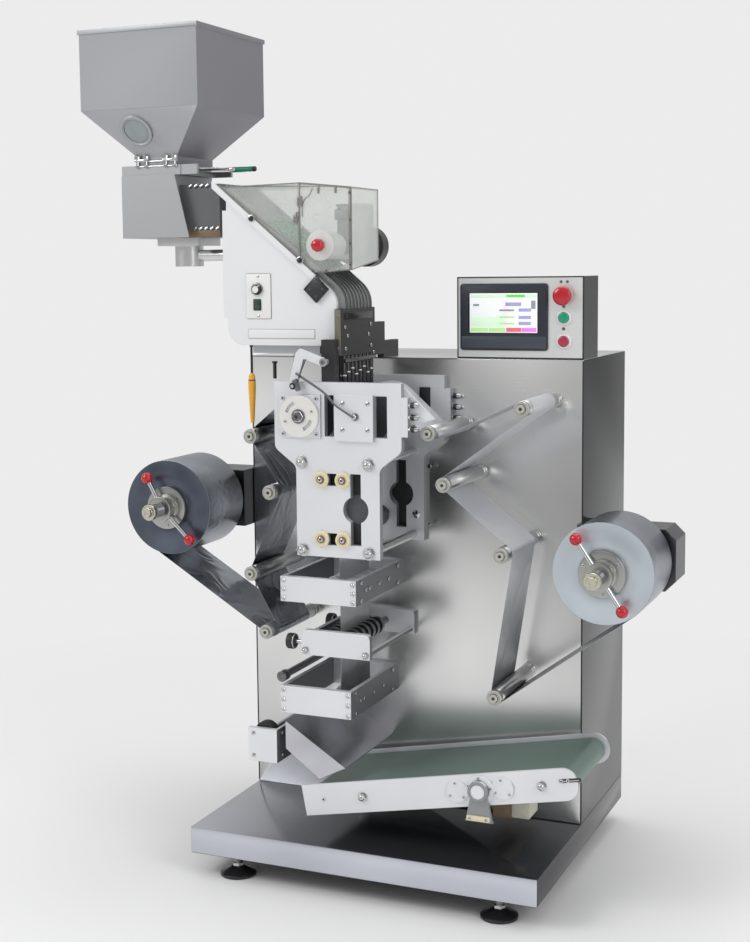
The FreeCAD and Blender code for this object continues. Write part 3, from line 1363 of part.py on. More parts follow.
def make_brush():
    x = across(size.brush_across)
    z = bend_height + size.brush_rise
    dome_back = size.body_front - size.body_depth
    motor_front = dome_back
    brush_front = size.web_middle + size.track_width / 2
    brush_back = size.web_middle - size.track_width / 2
    node("brush_roller", turned(x, face, z, [
        (0, -motor_front + size.brush_end), (size.brush_shaft, -motor_front + size.brush_end),
        (size.brush_shaft, -brush_back),
        (size.brush_radius, -brush_back), (size.brush_radius, -brush_front), (0, -brush_front)]))
    motor = carve(
        rod(x, ahead(motor_front), z, size.brush_motor_radius, size.brush_motor_depth),
        [rod(x, ahead(motor_front), z, size.brush_shaft + size.brush_play, size.brush_hole)])
    disc = turned(x, face, z, [
        (0, -size.body_front), (size.brush_radius, -size.body_front),
        (size.brush_radius, -size.body_front - size.brush_disc),
        (0, -size.body_front - size.brush_disc)])
    start = size.body_front + size.brush_disc
    knob = turned(x, face, z, [
        (0, -start), (size.brush_knob, -start), (size.brush_knob, -start - size.brush_knob),
        (0, -start - size.brush_knob)])
    node("brush_mount", group([motor, join([disc, knob])]))


def make_lane_block():
    right = across(size.track_right)
    depth = size.block_front - size.block_back
    guide = block(
        right - size.block_thickness, ahead(size.block_front), block_low,
        size.block_thickness, depth, size.block_height)
    channels = block(
        across(size.nip_across) - size.channel_thickness / 2,
        ahead(size.web_middle + size.track_width / 2), block_low - size.channel_height,
        size.channel_thickness, size.track_width, size.channel_height)
    post = block(
        beside_nip(size.post_left), ahead(size.head_reach - size.head_plate),
        over_nip(size.head_top) - size.post_drop, size.post_width, size.post_thickness,
        size.post_drop + size.post_rise)
    carrier = block(
        right - size.block_thickness, ahead(size.block_back), cabinet_top + size.carrier_low,
        size.block_thickness, size.block_back + size.carrier_back, size.carrier_height)
    foot = block(
        right - size.block_thickness, ahead(0), cabinet_top, size.block_thickness,
        size.carrier_foot, size.carrier_foot_height)
    node("lane_guide_block", join([guide, channels, post, carrier, foot]))
    width = size.support_right - size.support_left
    reach = size.body_front - size.support_inset
    node("feeder_support", join([
        block(across(size.support_left), ahead(reach), body_low - size.support_thickness, width,
              reach + size.support_back, size.support_thickness),
        block(across(size.support_left), ahead(0), cabinet_top, width, size.support_back,
              size.body_rise - size.support_thickness)]))
    x = across(size.wand_across)
    y = ahead(size.wand_reach)
    rod_low = body_low - size.wand_rod
    node("hanging_lever", join([
        rod(x, y, rod_low, size.wand_radius, size.wand_rod, "Z"),
        rod(x, y, rod_low - size.wand_grip, size.wand_grip_radius, size.wand_grip, "Z")]))


make_base()
make_cabinet()
make_controls()
make_guide_rollers()
make_films()
make_head_plates()
make_head_details()
make_lower_roller()
make_sealing_rollers()
make_rocker()
make_reel("left")
make_reel("right")
node("reel_arms", group([
    make_reel_arm("left", across(0), -1),
    make_reel_arm("right", across(size.cabinet_width), 1)]))
make_stations()
make_waste_puller()
make_chute()
make_conveyor()
make_hopper()
make_gate()
make_feeder()
make_feeder_body()
make_feeder_controls()
make_lane_track()
make_dome()
make_brush()
make_lane_block()

doc.recompute()
for item in doc.Objects:
    if "Invalid" in item.State or "Error" in item.State:
        raise RuntimeError("failed: " + item.Name + " " + item.Label)
for item in nodes:
    if item.Shape.isNull() or not item.Shape.isValid():
        raise RuntimeError("no valid shape: " + item.Label)
os.makedirs("parts", exist_ok=True)
for item in nodes:
    item.Shape.exportStep("parts/" + item.Label + ".step")
print(len(nodes), "nodes written")
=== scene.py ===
import math

import bmesh
import bpy
import numpy as np
from mathutils import Matrix, Vector


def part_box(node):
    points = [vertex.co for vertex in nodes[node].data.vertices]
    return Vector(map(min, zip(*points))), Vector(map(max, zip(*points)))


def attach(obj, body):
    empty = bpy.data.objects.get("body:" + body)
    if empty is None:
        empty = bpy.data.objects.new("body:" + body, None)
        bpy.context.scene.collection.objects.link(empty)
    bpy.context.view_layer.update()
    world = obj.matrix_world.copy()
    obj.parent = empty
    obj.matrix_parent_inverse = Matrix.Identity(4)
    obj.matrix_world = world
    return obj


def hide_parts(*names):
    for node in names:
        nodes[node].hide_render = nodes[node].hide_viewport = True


# Tablet strip packing machine: finishes for the frame's parts, and the small pieces on them.
# Metres, X to the right, Y to the back, Z up. Places on the machine are given in millimetres as
# (across from the cabinet's left edge, reach in front of the cabinet's face, height over the floor).

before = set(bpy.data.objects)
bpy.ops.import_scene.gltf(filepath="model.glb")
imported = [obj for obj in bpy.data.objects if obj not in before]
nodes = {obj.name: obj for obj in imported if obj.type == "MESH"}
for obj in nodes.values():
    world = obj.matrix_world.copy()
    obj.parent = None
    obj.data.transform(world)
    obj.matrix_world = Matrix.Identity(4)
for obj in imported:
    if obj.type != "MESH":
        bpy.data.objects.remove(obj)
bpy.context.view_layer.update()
mm = 0.001
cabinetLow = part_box("cabinet_housing")[0]
plateFront = 276  # reach of the front plates' faces


def at(across, reach, height):
    return np.array([cabinetLow.x + across * mm, cabinetLow.y - reach * mm, height * mm])


def faceCentre(nodeName):
    # Middle of a node's box across and in height, on the cabinet's face
    low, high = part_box(nodeName)
    return np.array([(low.x + high.x) / 2, cabinetLow.y, (low.z + high.z) / 2])


print("frame loaded:", len(nodes), "nodes")


# Meshes. A part is (points, faces, finish); a piece is one or more parts in one object.
def gridFaces(rows, cols, wrapRows=False, wrapCols=False):
    # Quads between neighbours of a rows x cols grid, index = row * cols + col
    r = np.arange(rows if wrapRows else rows - 1)[:, None]
    c = np.arange(cols if wrapCols else cols - 1)[None, :]
    r2, c2 = (r + 1) % rows, (c + 1) % cols
    quads = np.stack([r * cols + c, r * cols + c2, r2 * cols + c2, r2 * cols + c], axis=-1)
    return quads.reshape(-1, 4).tolist()


def softened(corners, radius, steps=3):
    # Open chain of corners, each inner one replaced by the curve (1-t)^2 a + 2t(1-t) c + t^2 b
    # between the points a and b that lie a radius before and after it
    corners = np.asarray(corners, float)
    chain = [corners[0]]
    t = np.linspace(0, 1, steps + 1)[:, None]
    for before, corner, after in zip(corners[:-2], corners[1:-1], corners[2:]):
        back, on = before - corner, after - corner
        backLength, onLength = np.linalg.norm(back), np.linalg.norm(on)
        cut = min(radius, backLength * 0.49, onLength * 0.49)
        a, b = corner + back / backLength * cut, corner + on / onLength * cut
        chain.extend((1 - t) ** 2 * a + 2 * t * (1 - t) * corner + t ** 2 * b)
    chain.append(corners[-1])
    return np.array(chain)


axes = {
    "X": (np.array([0, 1, 0]), np.array([0, 0, 1]), np.array([1, 0, 0])),
    "Y": (np.array([1, 0, 0]), np.array([0, 0, 1]), np.array([0, -1, 0])),
    "Z": (np.array([1, 0, 0]), np.array([0, 1, 0]), np.array([0, 0, 1])),
}


def turned(profile, centre, finish, along="Y", sides=40, loop=False, shape=None):
    # Point = centre + d * axis + r * shape(angle) * (cos angle * e1 + sin angle * e2), for the
    # profile's (r, d) in millimetres; on the Y axis d counts towards the viewer
    e1, e2, axis = axes[along]
    profile = np.asarray(profile, float)
    profile = profile[profile[:, 0] > 1e-6] * mm
    angle = np.linspace(0, 2 * np.pi, sides, endpoint=False)
    swell = np.ones(sides) if shape is None else shape(angle)
    around = (np.cos(angle) * swell)[:, None] * e1 + (np.sin(angle) * swell)[:, None] * e2
    points = centre + profile[:, 1, None, None] * axis + profile[:, 0, None, None] * around[None]
    faces = gridFaces(len(profile), sides, wrapRows=loop, wrapCols=True)
    if not loop:
        faces.append(list(range(sides))[::-1])
        faces.append(list(range((len(profile) - 1) * sides, len(profile) * sides)))
    return points.reshape(-1, 3), faces, finish


def turnedRows(centre, rows, along="Y"):
    # Turned parts round one centre, each row a profile, its finish, its sides and maybe a shape
    return [turned(profile, centre, finish, along, sides, shape=shape[0] if shape else None)
            for profile, finish, sides, *shape in rows]


def hexagonal(angle):
    # Six flats: radius = cos 30 / cos(angle within one flat)
    return math.cos(math.pi / 6) / np.cos((angle % (math.pi / 3)) - math.pi / 6)


def notched(count, depth, above):
    # Ring of notches: share of the radius = 1 - depth wherever cos(count * angle) > above
    return lambda angle: 1 - depth * (np.cos(angle * count) > above)


def threaded(start, pitch, turns, outer, root):
    # Saw-tooth profile of a thread: one radius at the start of each turn, the other halfway on
    return [(radius, start + (ring + half) * pitch)
            for ring in range(turns) for radius, half in ((outer, 0), (root, 0.5))]


def roundRectangle(width, height, radius, steps=4):
    # Outline of a rectangle whose corners are quarter circles, counted from its middle
    turn = np.linspace(0, math.pi / 2, steps + 1)
    quarter = np.stack([np.cos(turn), np.sin(turn)], axis=1) * radius
    outline = []
    for index, (sx, sy) in enumerate(((1, 1), (-1, 1), (-1, -1), (1, -1))):
        c, s = math.cos(index * math.pi / 2), math.sin(index * math.pi / 2)
        spun = quarter @ np.array([[c, s], [-s, c]])
        outline.append(spun + [sx * (width / 2 - radius), sy * (height / 2 - radius)])
    return np.concatenate(outline)


def inset(outline, amount):
    # Each point moved in by amount along the mean of its two neighbouring edges' inner normals
    edge = np.roll(outline, -1, axis=0) - outline
    length = np.maximum(np.linalg.norm(edge, axis=1, keepdims=True), 1e-9)
    normal = np.stack([-edge[:, 1], edge[:, 0]], axis=1) / length
    mean = normal + np.roll(normal, 1, axis=0)
    size = np.maximum((mean * mean).sum(axis=1, keepdims=True), 0.3)
    return outline + mean / size * 2 * amount


def slab(outline, start, depth, finish, origin, facing="Y", bevel=0.8, turn=0.0):
    # Outline points (u, v) in millimetres round origin, carried along the facing direction from
    # start to start + depth, with its edge profile a quarter circle of radius bevel at both ends
    e1, e2, axis = axes[facing]
    outline = np.asarray(outline, float)
    area = outline[:, 0] * np.roll(outline[:, 1], -1) - outline[:, 1] * np.roll(outline[:, 0], -1)
    if area.sum() < 0:
        outline = outline[::-1]
    bevel = min(bevel, depth * 0.45)
    steps = [(bevel, 0.0), (bevel * 0.3, bevel * 0.3), (0.0, bevel)]
    edge = steps + [(inward, depth - rise) for inward, rise in steps[::-1]]
    c, s = math.cos(turn), math.sin(turn)
    rings = []
    for inward, rise in edge:
        flat = inset(outline, inward) @ np.array([[c, s], [-s, c]]) * mm
        rings.append(origin + flat[:, :1] * e1 + flat[:, 1:] * e2 + (start + rise) * mm * axis)
    count = len(outline)
    faces = gridFaces(len(edge), count, wrapCols=True)
    faces.append(list(range(count))[::-1])
    faces.append(list(range((len(edge) - 1) * count, len(edge) * count)))
    return np.concatenate(rings), faces, finish


def plate(size, start, depth, finish, origin, facing="Y", bevel=0.8, turn=0.0):
    # Slab with a round-cornered outline, its size (width, height, radius) and maybe corner steps
    return slab(roundRectangle(*size), start, depth, finish, origin, facing, bevel, turn)


def carried(path, radius, finish, sides=12, up=(0, 1, 0)):
    # Circle of radius r carried along the path: point = p + r * (cos a * side + sin a * lift),
    # where side = up x tangent and lift = tangent x side
    path = np.asarray(path, float)
    radii = np.broadcast_to(np.asarray(radius, float), (len(path),)) * mm
    tangent = np.gradient(path, axis=0)
    tangent /= np.linalg.norm(tangent, axis=1, keepdims=True)
    side = np.cross(np.asarray(up, float), tangent)
    side /= np.linalg.norm(side, axis=1, keepdims=True)
    lift = np.cross(tangent, side)
    angle = np.linspace(0, 2 * np.pi, sides, endpoint=False)
    across, over = np.cos(angle)[None, :, None], np.sin(angle)[None, :, None]
    points = path[:, None] + radii[:, None, None] * (across * side[:, None] + over * lift[:, None])
    faces = gridFaces(len(path), sides, wrapCols=True)
    faces.append(list(range(sides))[::-1])
    faces.append(list(range((len(path) - 1) * sides, len(path) * sides)))
    return points.reshape(-1, 3), faces, finish


def newObject(name, data):
    thing = bpy.data.objects.new(name, data)
    bpy.context.scene.collection.objects.link(thing)
    return thing


def addPiece(name, parts, body="root", replaces=(), smoothAngle=35):
    # Puts all parts in one mesh, one material slot for each finish, and lets it ride on its body
    points, faces, marks, finishes = [], [], [], []
    count = 0
    for partPoints, partFaces, finish in parts:
        if finish not in finishes:
            finishes.append(finish)
        points.append(partPoints)
        faces.extend([[corner + count for corner in face] for face in partFaces])
        marks.extend([finishes.index(finish)] * len(partFaces))
        count += len(partPoints)
    mesh = bpy.data.meshes.new(name)
    mesh.from_pydata(np.concatenate(points).tolist(), [], faces)
    for finish in finishes:
        mesh.materials.append(materials[finish])
    mesh.polygons.foreach_set("material_index", marks)
    mesh.polygons.foreach_set("use_smooth", [True] * len(faces))
    mesh.set_sharp_from_angle(angle=math.radians(smoothAngle))
    mesh.validate()
    piece = newObject(name, mesh)
    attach(piece, body)
    if replaces:
        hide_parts(*replaces)


# Shader groups. They read a position or a normal and put out colours, roughness and heights.
def newGroup(name, inputs, outputs):
    group = bpy.data.node_groups.new(name, "ShaderNodeTree")
    for socketName, kind, value in inputs:
        socket = group.interface.new_socket(name=socketName, in_out="INPUT", socket_type=kind)
        if value is not None:
            socket.default_value = value
    for socketName, kind in outputs:
        group.interface.new_socket(name=socketName, in_out="OUTPUT", socket_type=kind)
    return group, group.nodes.new("NodeGroupInput"), group.nodes.new("NodeGroupOutput")


def addNode(tree, kind, inputs=None, **values):
    node = tree.nodes.new(kind)
    for name, value in values.items():
        setattr(node, name, value)
    for key, value in (inputs or {}).items():
        socket = node.inputs[key]
        if isinstance(value, bpy.types.NodeSocket):
            tree.links.new(value, socket)
        else:
            socket.default_value = value
    return node


def math2(tree, operation, first, second):
    return addNode(tree, "ShaderNodeMath", {0: first, 1: second}, operation=operation).outputs[0]


def mixColour(tree, share, first, second):
    # Colour between the first and the second by the share
    mixed = addNode(tree, "ShaderNodeMix", {0: share, 6: first, 7: second}, data_type="RGBA")
    return mixed.outputs[2]


def makeGrainGroup():
    # Fine noise stretched along one direction for the grain, and broad noise for the clouds:
    # colour = Colour * (1 + spread * grain + cloud spread * cloud), and likewise the roughness
    group, source, target = newGroup(
        "surfaceGrain",
        [("Vector", "NodeSocketVector", None), ("Stretch", "NodeSocketVector", (1, 1, 1)),
         ("Fineness", "NodeSocketFloat", 400.0), ("Colour", "NodeSocketColor", (0.5, 0.5, 0.5, 1)),
         ("Spread", "NodeSocketFloat", 0.1), ("Cloud Size", "NodeSocketFloat", 3.0),
         ("Cloud Spread", "NodeSocketFloat", 0.1), ("Roughness", "NodeSocketFloat", 0.3),
         ("Roughness Spread", "NodeSocketFloat", 0.1)],
        [("Colour", "NodeSocketColor"), ("Roughness", "NodeSocketFloat"), ("Height", "NodeSocketFloat")])
    get = source.outputs
    stretched = addNode(group, "ShaderNodeVectorMath", {0: get["Vector"], 1: get["Stretch"]},
                        operation="MULTIPLY")
    grain = addNode(group, "ShaderNodeTexNoise", {
        "Vector": stretched.outputs[0], "Scale": get["Fineness"], "Detail": 3.0, "Roughness": 0.6})
    cloud = addNode(group, "ShaderNodeTexNoise", {
        "Vector": get["Vector"], "Scale": get["Cloud Size"], "Detail": 2.0, "Roughness": 0.5})
    grainShare = math2(group, "SUBTRACT", grain.outputs["Fac"], 0.5)
    cloudShare = math2(group, "SUBTRACT", cloud.outputs["Fac"], 0.5)
    light = math2(group, "MULTIPLY", grainShare, get["Spread"])
    broad = math2(group, "MULTIPLY", cloudShare, get["Cloud Spread"])
    factor = math2(group, "ADD", math2(group, "ADD", light, broad), 1.0)
    colour = addNode(group, "ShaderNodeVectorMath", {0: get["Colour"], "Scale": factor},
                     operation="SCALE")
    both = math2(group, "ADD", grainShare, cloudShare)
    rough = math2(group, "MULTIPLY", both, get["Roughness Spread"])
    group.links.new(colour.outputs[0], target.inputs["Colour"])
    group.links.new(math2(group, "ADD", get["Roughness"], rough), target.inputs["Roughness"])
    group.links.new(grain.outputs["Fac"], target.inputs["Height"])
    return group


def makeCreaseGroup():
    # Ridged noise n: crease = (1 - |2n - 1|)^6, sharp lines on a sheet, and a broad noise that takes the
    # colour towards the shade colour in blotches of painted shade
    group, source, target = newGroup(
        "sheetCreases",
        [("Vector", "NodeSocketVector", None), ("Size", "NodeSocketFloat", 12.0),
         ("Colour", "NodeSocketColor", (0.6, 0.6, 0.6, 1)),
         ("Shade", "NodeSocketColor", (0.2, 0.2, 0.2, 1)),
         ("Shade Share", "NodeSocketFloat", 0.4)],
        [("Colour", "NodeSocketColor"), ("Height", "NodeSocketFloat")])
    get = source.outputs
    noise = addNode(group, "ShaderNodeTexNoise", {
        "Vector": get["Vector"], "Scale": get["Size"], "Detail": 2.0, "Distortion": 0.6})
    centred = addNode(group, "ShaderNodeMath", {0: noise.outputs["Fac"], 1: 2.0, 2: -1.0},
                      operation="MULTIPLY_ADD")
    ridge = math2(group, "ABSOLUTE", centred.outputs[0], 0.0)
    crease = math2(group, "POWER", math2(group, "SUBTRACT", 1.0, ridge), 6.0)
    broad = addNode(group, "ShaderNodeTexNoise", {
        "Vector": get["Vector"], "Scale": 2.5, "Detail": 1.0})
    share = math2(group, "MULTIPLY", broad.outputs["Fac"], get["Shade Share"])
    colour = mixColour(group, share, get["Colour"], get["Shade"])
    group.links.new(colour, target.inputs["Colour"])
    group.links.new(math2(group, "ADD", crease, noise.outputs["Fac"]), target.inputs["Height"])
    return group


def makeSideGroup():
    # Painted light by facing: share = (n - 0.5) * 4, held to 0..1; for n = |normal x| it gives the
    # painted side shade on faces that look left or right, and for n = normal z the painted top colour on
    # faces that look up
    group, source, target = newGroup(
        "sideShade",
        [("Normal", "NodeSocketVector", None), ("Front", "NodeSocketColor", (0.6, 0.6, 0.6, 1)),
         ("Side", "NodeSocketColor", (0.1, 0.1, 0.1, 1)),
         ("Top", "NodeSocketColor", (0.6, 0.6, 0.6, 1))],
        [("Colour", "NodeSocketColor")])
    get = source.outputs
    apart = addNode(group, "ShaderNodeSeparateXYZ", {0: get["Normal"]})
    away = math2(group, "ABSOLUTE", apart.outputs["X"], 0.0)
    colour = get["Front"]
    for facing, other in ((away, get["Side"]), (apart.outputs["Z"], get["Top"])):
        share = addNode(group, "ShaderNodeMath", {0: math2(group, "SUBTRACT", facing, 0.5), 1: 4.0},
                        operation="MULTIPLY", use_clamp=True)
        colour = mixColour(group, share.outputs[0], colour, other)
    group.links.new(colour, target.inputs["Colour"])
    return group


grainGroup = makeGrainGroup()
creaseGroup = makeCreaseGroup()
sideGroup = makeSideGroup()
materials = {}


def newMaterial(name):
    material = bpy.data.materials.new(name)
    material.use_nodes = True
    tree = material.node_tree
    shader = tree.nodes["Principled BSDF"]
    position = tree.nodes.new("ShaderNodeTexCoord").outputs["Object"]
    materials[name] = material
    return tree, shader, position


def setShader(shader, **values):
    for name, value in values.items():
        shader.inputs[name.replace("_", " ")].default_value = value


def grainMaterial(name, colour, roughness, metallic=0.0, stretch=(1, 1, 1), fineness=400.0,
                  spread=0.1, cloud=3.0, cloudSpread=0.1, roughSpread=0.1, depth=0.15,
                  edge=0.0, coat=0.0, bump=0.0002, side=None, top=None, glow=0.0):
    # A surface with grain and clouds from the shared group, softened edges where edge is set, a painted
    # shade on the faces that look left or right where side is set, and a painted reflection on the faces
    # that look up where top is set, a pair of colours that runs from left to right
    tree, shader, position = newMaterial(name)
    grain = addNode(tree, "ShaderNodeGroup", {
        "Vector": position, "Stretch": stretch, "Fineness": fineness, "Colour": (*colour, 1),
        "Spread": spread, "Cloud Size": cloud, "Cloud Spread": cloudSpread,
        "Roughness": roughness, "Roughness Spread": roughSpread}, node_tree=grainGroup)
    # side: painted shade on the faces that look left or right
    if side:
        normal = tree.nodes.new("ShaderNodeTexCoord").outputs["Normal"]
        sides = addNode(tree, "ShaderNodeGroup", {
            "Normal": normal, "Front": (*colour, 1), "Side": (*side, 1), "Top": (*colour, 1)},
            node_tree=sideGroup)
        # top: painted reflection on the faces that look up, from the first colour at X -0.5 m to the
        # second at X 0
        if top:
            across = addNode(tree, "ShaderNodeSeparateXYZ", {0: position})
            paintedReflectionShare = addNode(tree, "ShaderNodeMapRange", {
                "Value": across.outputs["X"], "From Min": -0.5, "From Max": 0.0},
                interpolation_type="SMOOTHSTEP")
            upper = mixColour(tree, paintedReflectionShare.outputs[0], (*top[0], 1), (*top[1], 1))
            tree.links.new(upper, sides.inputs["Top"])
        tree.links.new(sides.outputs["Colour"], grain.inputs["Colour"])
    tree.links.new(grain.outputs["Colour"], shader.inputs["Base Color"])
    tree.links.new(grain.outputs["Roughness"], shader.inputs["Roughness"])
    if glow:
        tree.links.new(grain.outputs["Colour"], shader.inputs["Emission Color"])
        setShader(shader, Emission_Strength=glow)
    relief = addNode(tree, "ShaderNodeBump", {
        "Strength": depth, "Distance": bump, "Height": grain.outputs["Height"]})
    if edge:
        soft = addNode(tree, "ShaderNodeBevel", {"Radius": edge * mm}, samples=4)
        tree.links.new(soft.outputs[0], relief.inputs["Normal"])
    tree.links.new(relief.outputs[0], shader.inputs["Normal"])
    setShader(shader, Metallic=metallic, Coat_Weight=coat)


def makeFinishes():
    # Brushed sheet: the grain runs along X, so its coordinates are shortened there
    sheet = dict(metallic=1.0, stretch=(0.02, 1, 1), fineness=1100, spread=0.07, roughSpread=0.07,
                 depth=0.06)
    # Cabinet: painted shade on the faces that look left or right, and strong broad clouds that paint
    # patches of reflected light on its front
    grainMaterial("cabinetSteel", (0.74, 0.74, 0.735), 0.25, cloud=2.0, cloudSpread=1.0,
                  side=(0.055, 0.057, 0.06), **sheet)
    bright = dict(sheet, metallic=0.55)
    # Control box: painted shade on the faces that look left or right
    grainMaterial("boxSteel", (0.80, 0.81, 0.80), 0.36, cloud=3.0, cloudSpread=0.10, edge=1.2,
                  side=(0.03, 0.032, 0.032), **bright)
    # Plinth: painted shade on its sides, and a painted reflection on its top, light at the left and dark
    # towards the right
    grainMaterial("plinthSteel", (0.58, 0.60, 0.66), 0.20, cloud=2.4, cloudSpread=0.6,
                  side=(0.06, 0.06, 0.066), top=((0.62, 0.64, 0.70), (0.085, 0.088, 0.10)),
                  **dict(bright, metallic=0.8))
    # Reel arms: painted shade on the faces that look left or right
    grainMaterial("armSteel", (0.10, 0.102, 0.11), 0.30, cloud=3.0, cloudSpread=0.2, edge=2.0,
                  side=(0.045, 0.045, 0.05), **sheet)
    soft = dict(metallic=0.7, stretch=(1, 1, 0.03), fineness=900, spread=0.07, roughSpread=0.06)
    # Hopper: painted shade on the faces that look left or right
    grainMaterial("hopperSteel", (0.42, 0.43, 0.45), 0.50, cloud=1.6, cloudSpread=0.16,
                  side=(0.27, 0.265, 0.29), **soft)
    grainMaterial("boxGrey", (0.40, 0.41, 0.42), 0.48, cloud=2.0, cloudSpread=0.08, edge=1.0, **soft)
    grainMaterial("chuteSteel", (0.52, 0.52, 0.56), 0.20, cloud=6.0, cloudSpread=0.9, edge=0.6,
                  **dict(sheet, spread=0.03, depth=0.03))
    milled = dict(fineness=1500, spread=0.05, cloud=5.0, cloudSpread=0.16, roughSpread=0.06, edge=1.0)
    # Plates: painted shade on the faces that look left or right
    grainMaterial("plateAluminium", (0.79, 0.80, 0.83), 0.38, metallic=0.35,
                  side=(0.34, 0.345, 0.36), **milled)
    # Station frames: painted shade on the faces that look left or right
    grainMaterial("stationSteel", (0.80, 0.81, 0.835), 0.36, metallic=0.4,
                  side=(0.17, 0.175, 0.185), **milled)
    grainMaterial("discCream", (0.84, 0.83, 0.79), 0.36, metallic=0.3, **milled)
    grainMaterial("darkPlate", (0.50, 0.52, 0.54), 0.40, metallic=0.8, fineness=1500, spread=0.08,
                  cloud=8.0, cloudSpread=0.12, edge=1.0)
    turnedSet = dict(metallic=1.0, stretch=(0.05, 1, 0.05), fineness=1600, spread=0.12)
    grainMaterial("rollerAluminium", (0.66, 0.66, 0.66), 0.30, edge=0.8, **turnedSet)
    grainMaterial("groundSteel", (0.62, 0.62, 0.62), 0.20, edge=0.6, **turnedSet)
    grainMaterial("darkSteel", (0.20, 0.20, 0.21), 0.30, edge=0.6, **turnedSet)
    grainMaterial("chrome", (0.60, 0.60, 0.61), 0.12, metallic=1.0, spread=0.03, cloudSpread=0.04,
                  roughSpread=0.04, depth=0.03)
    grainMaterial("blackGloss", (0.018, 0.018, 0.02), 0.22, fineness=900, spread=0.2, edge=0.8)
    grainMaterial("blackMatt", (0.022, 0.022, 0.024), 0.45, fineness=1200, spread=0.3, edge=0.8)
    grainMaterial("rubber", (0.03, 0.03, 0.032), 0.62, fineness=700, spread=0.4, depth=0.4)
    grainMaterial("drumRubber", (0.085, 0.088, 0.095), 0.42, fineness=300, stretch=(1, 1, 0.3),
                  spread=0.5, cloud=30, cloudSpread=0.8, depth=0.3)
    grainMaterial("nylon", (0.78, 0.70, 0.48), 0.40, fineness=600, spread=0.06, edge=0.8)
    grainMaterial("whitePaint", (0.80, 0.81, 0.82), 0.34, fineness=1400, spread=0.03, cloud=4.0,
                  cloudSpread=0.04, edge=1.5, coat=0.15)
    grainMaterial("whitePlastic", (0.82, 0.82, 0.80), 0.35, fineness=1000, spread=0.04, edge=0.8)
    grainMaterial("greyPaint", (0.12, 0.125, 0.13), 0.42, fineness=1100, spread=0.15, edge=1.5,
                  depth=0.3)
    grainMaterial("laneSteel", (0.32, 0.33, 0.33), 0.34, metallic=0.9, fineness=900, spread=0.25,
                  cloud=18, cloudSpread=0.3, edge=0.8)
    grainMaterial("greenBelt", (0.135, 0.205, 0.175), 0.42, fineness=2200, spread=0.18, cloud=5.0,
                  cloudSpread=0.12, depth=0.35)
    grainMaterial("brownPaint", (0.20, 0.13, 0.075), 0.42, fineness=800, spread=0.15, edge=1.0)
    grainMaterial("creamPaint", (0.62, 0.60, 0.50), 0.38, fineness=800, spread=0.08, edge=1.0)
    moulded = dict(fineness=700, spread=0.05, depth=0.03)
    grainMaterial("redPlastic", (0.50, 0.008, 0.020), 0.20, coat=0.4, **moulded)
    grainMaterial("greenPlastic", (0.01, 0.33, 0.17), 0.24, coat=0.3, **moulded)
    grainMaterial("yellowPlastic", (0.85, 0.42, 0.03), 0.28, fineness=500, spread=0.06, cloud=25,
                  cloudSpread=0.3, coat=0.2)
    grainMaterial("pinkPlastic", (0.42, 0.03, 0.075), 0.22, coat=0.4, **moulded)
    grainMaterial("darkGreen", (0.02, 0.06, 0.05), 0.25, fineness=700, spread=0.1, coat=0.3)
    grainMaterial("tabletGreen", (0.03, 0.36, 0.13), 0.42, fineness=1400, spread=0.12, cloud=60,
                  cloudSpread=0.3)
    grainMaterial("olivePaint", (0.16, 0.15, 0.11), 0.45, fineness=900, spread=0.15, edge=0.8)
    grainMaterial("greyBracket", (0.30, 0.31, 0.32), 0.40, metallic=0.4, fineness=900, spread=0.1,
                  edge=1.0)
    grainMaterial("brassSteel", (0.58, 0.56, 0.47), 0.24, edge=0.4, **turnedSet)
    grainMaterial("reelSteel", (0.42, 0.425, 0.40), 0.30, edge=0.8, cloud=14, cloudSpread=0.3,
                  **turnedSet)
    grainMaterial("endSteel", (0.55, 0.545, 0.50), 0.38, metallic=0.6, fineness=1400, spread=0.1,
                  edge=0.4)
    wound = dict(metallic=0.8, fineness=900, spread=0.10, cloud=12, roughSpread=0.1)
    grainMaterial("rollFaceDark", (0.10, 0.115, 0.15), 0.30, cloudSpread=0.9, **wound)
    grainMaterial("rollFacePale", (0.56, 0.62, 0.67), 0.38, cloudSpread=0.3, **wound)
    grainMaterial("screenBezel", (0.028, 0.033, 0.045), 0.28, fineness=900, spread=0.1, edge=0.8)
    grainMaterial("screenBar", (0.060, 0.070, 0.090), 0.34, fineness=900, spread=0.1)
    display = dict(fineness=1800, spread=0.10, cloud=9.0, cloudSpread=0.10, glow=0.32)
    for name, colour in (
            ("screenWhite", (0.84, 0.86, 0.90)), ("screenPale", (0.68, 0.86, 0.66)),
            ("screenPink", (0.88, 0.78, 0.86)), ("screenGreen", (0.18, 0.66, 0.12)),
            ("screenLime", (0.46, 0.80, 0.30)), ("screenRed", (0.74, 0.16, 0.17)),
            ("screenMagenta", (0.80, 0.22, 0.76)), ("screenLilac", (0.36, 0.36, 0.60)),
            ("screenGrey", (0.26, 0.30, 0.33))):
        grainMaterial(name, colour, 0.3, **display)
    grainMaterial("brushHair", (0.85, 0.85, 0.82), 0.6, fineness=900, stretch=(1, 0.2, 1), spread=0.3,
                  depth=0.8, bump=0.001)


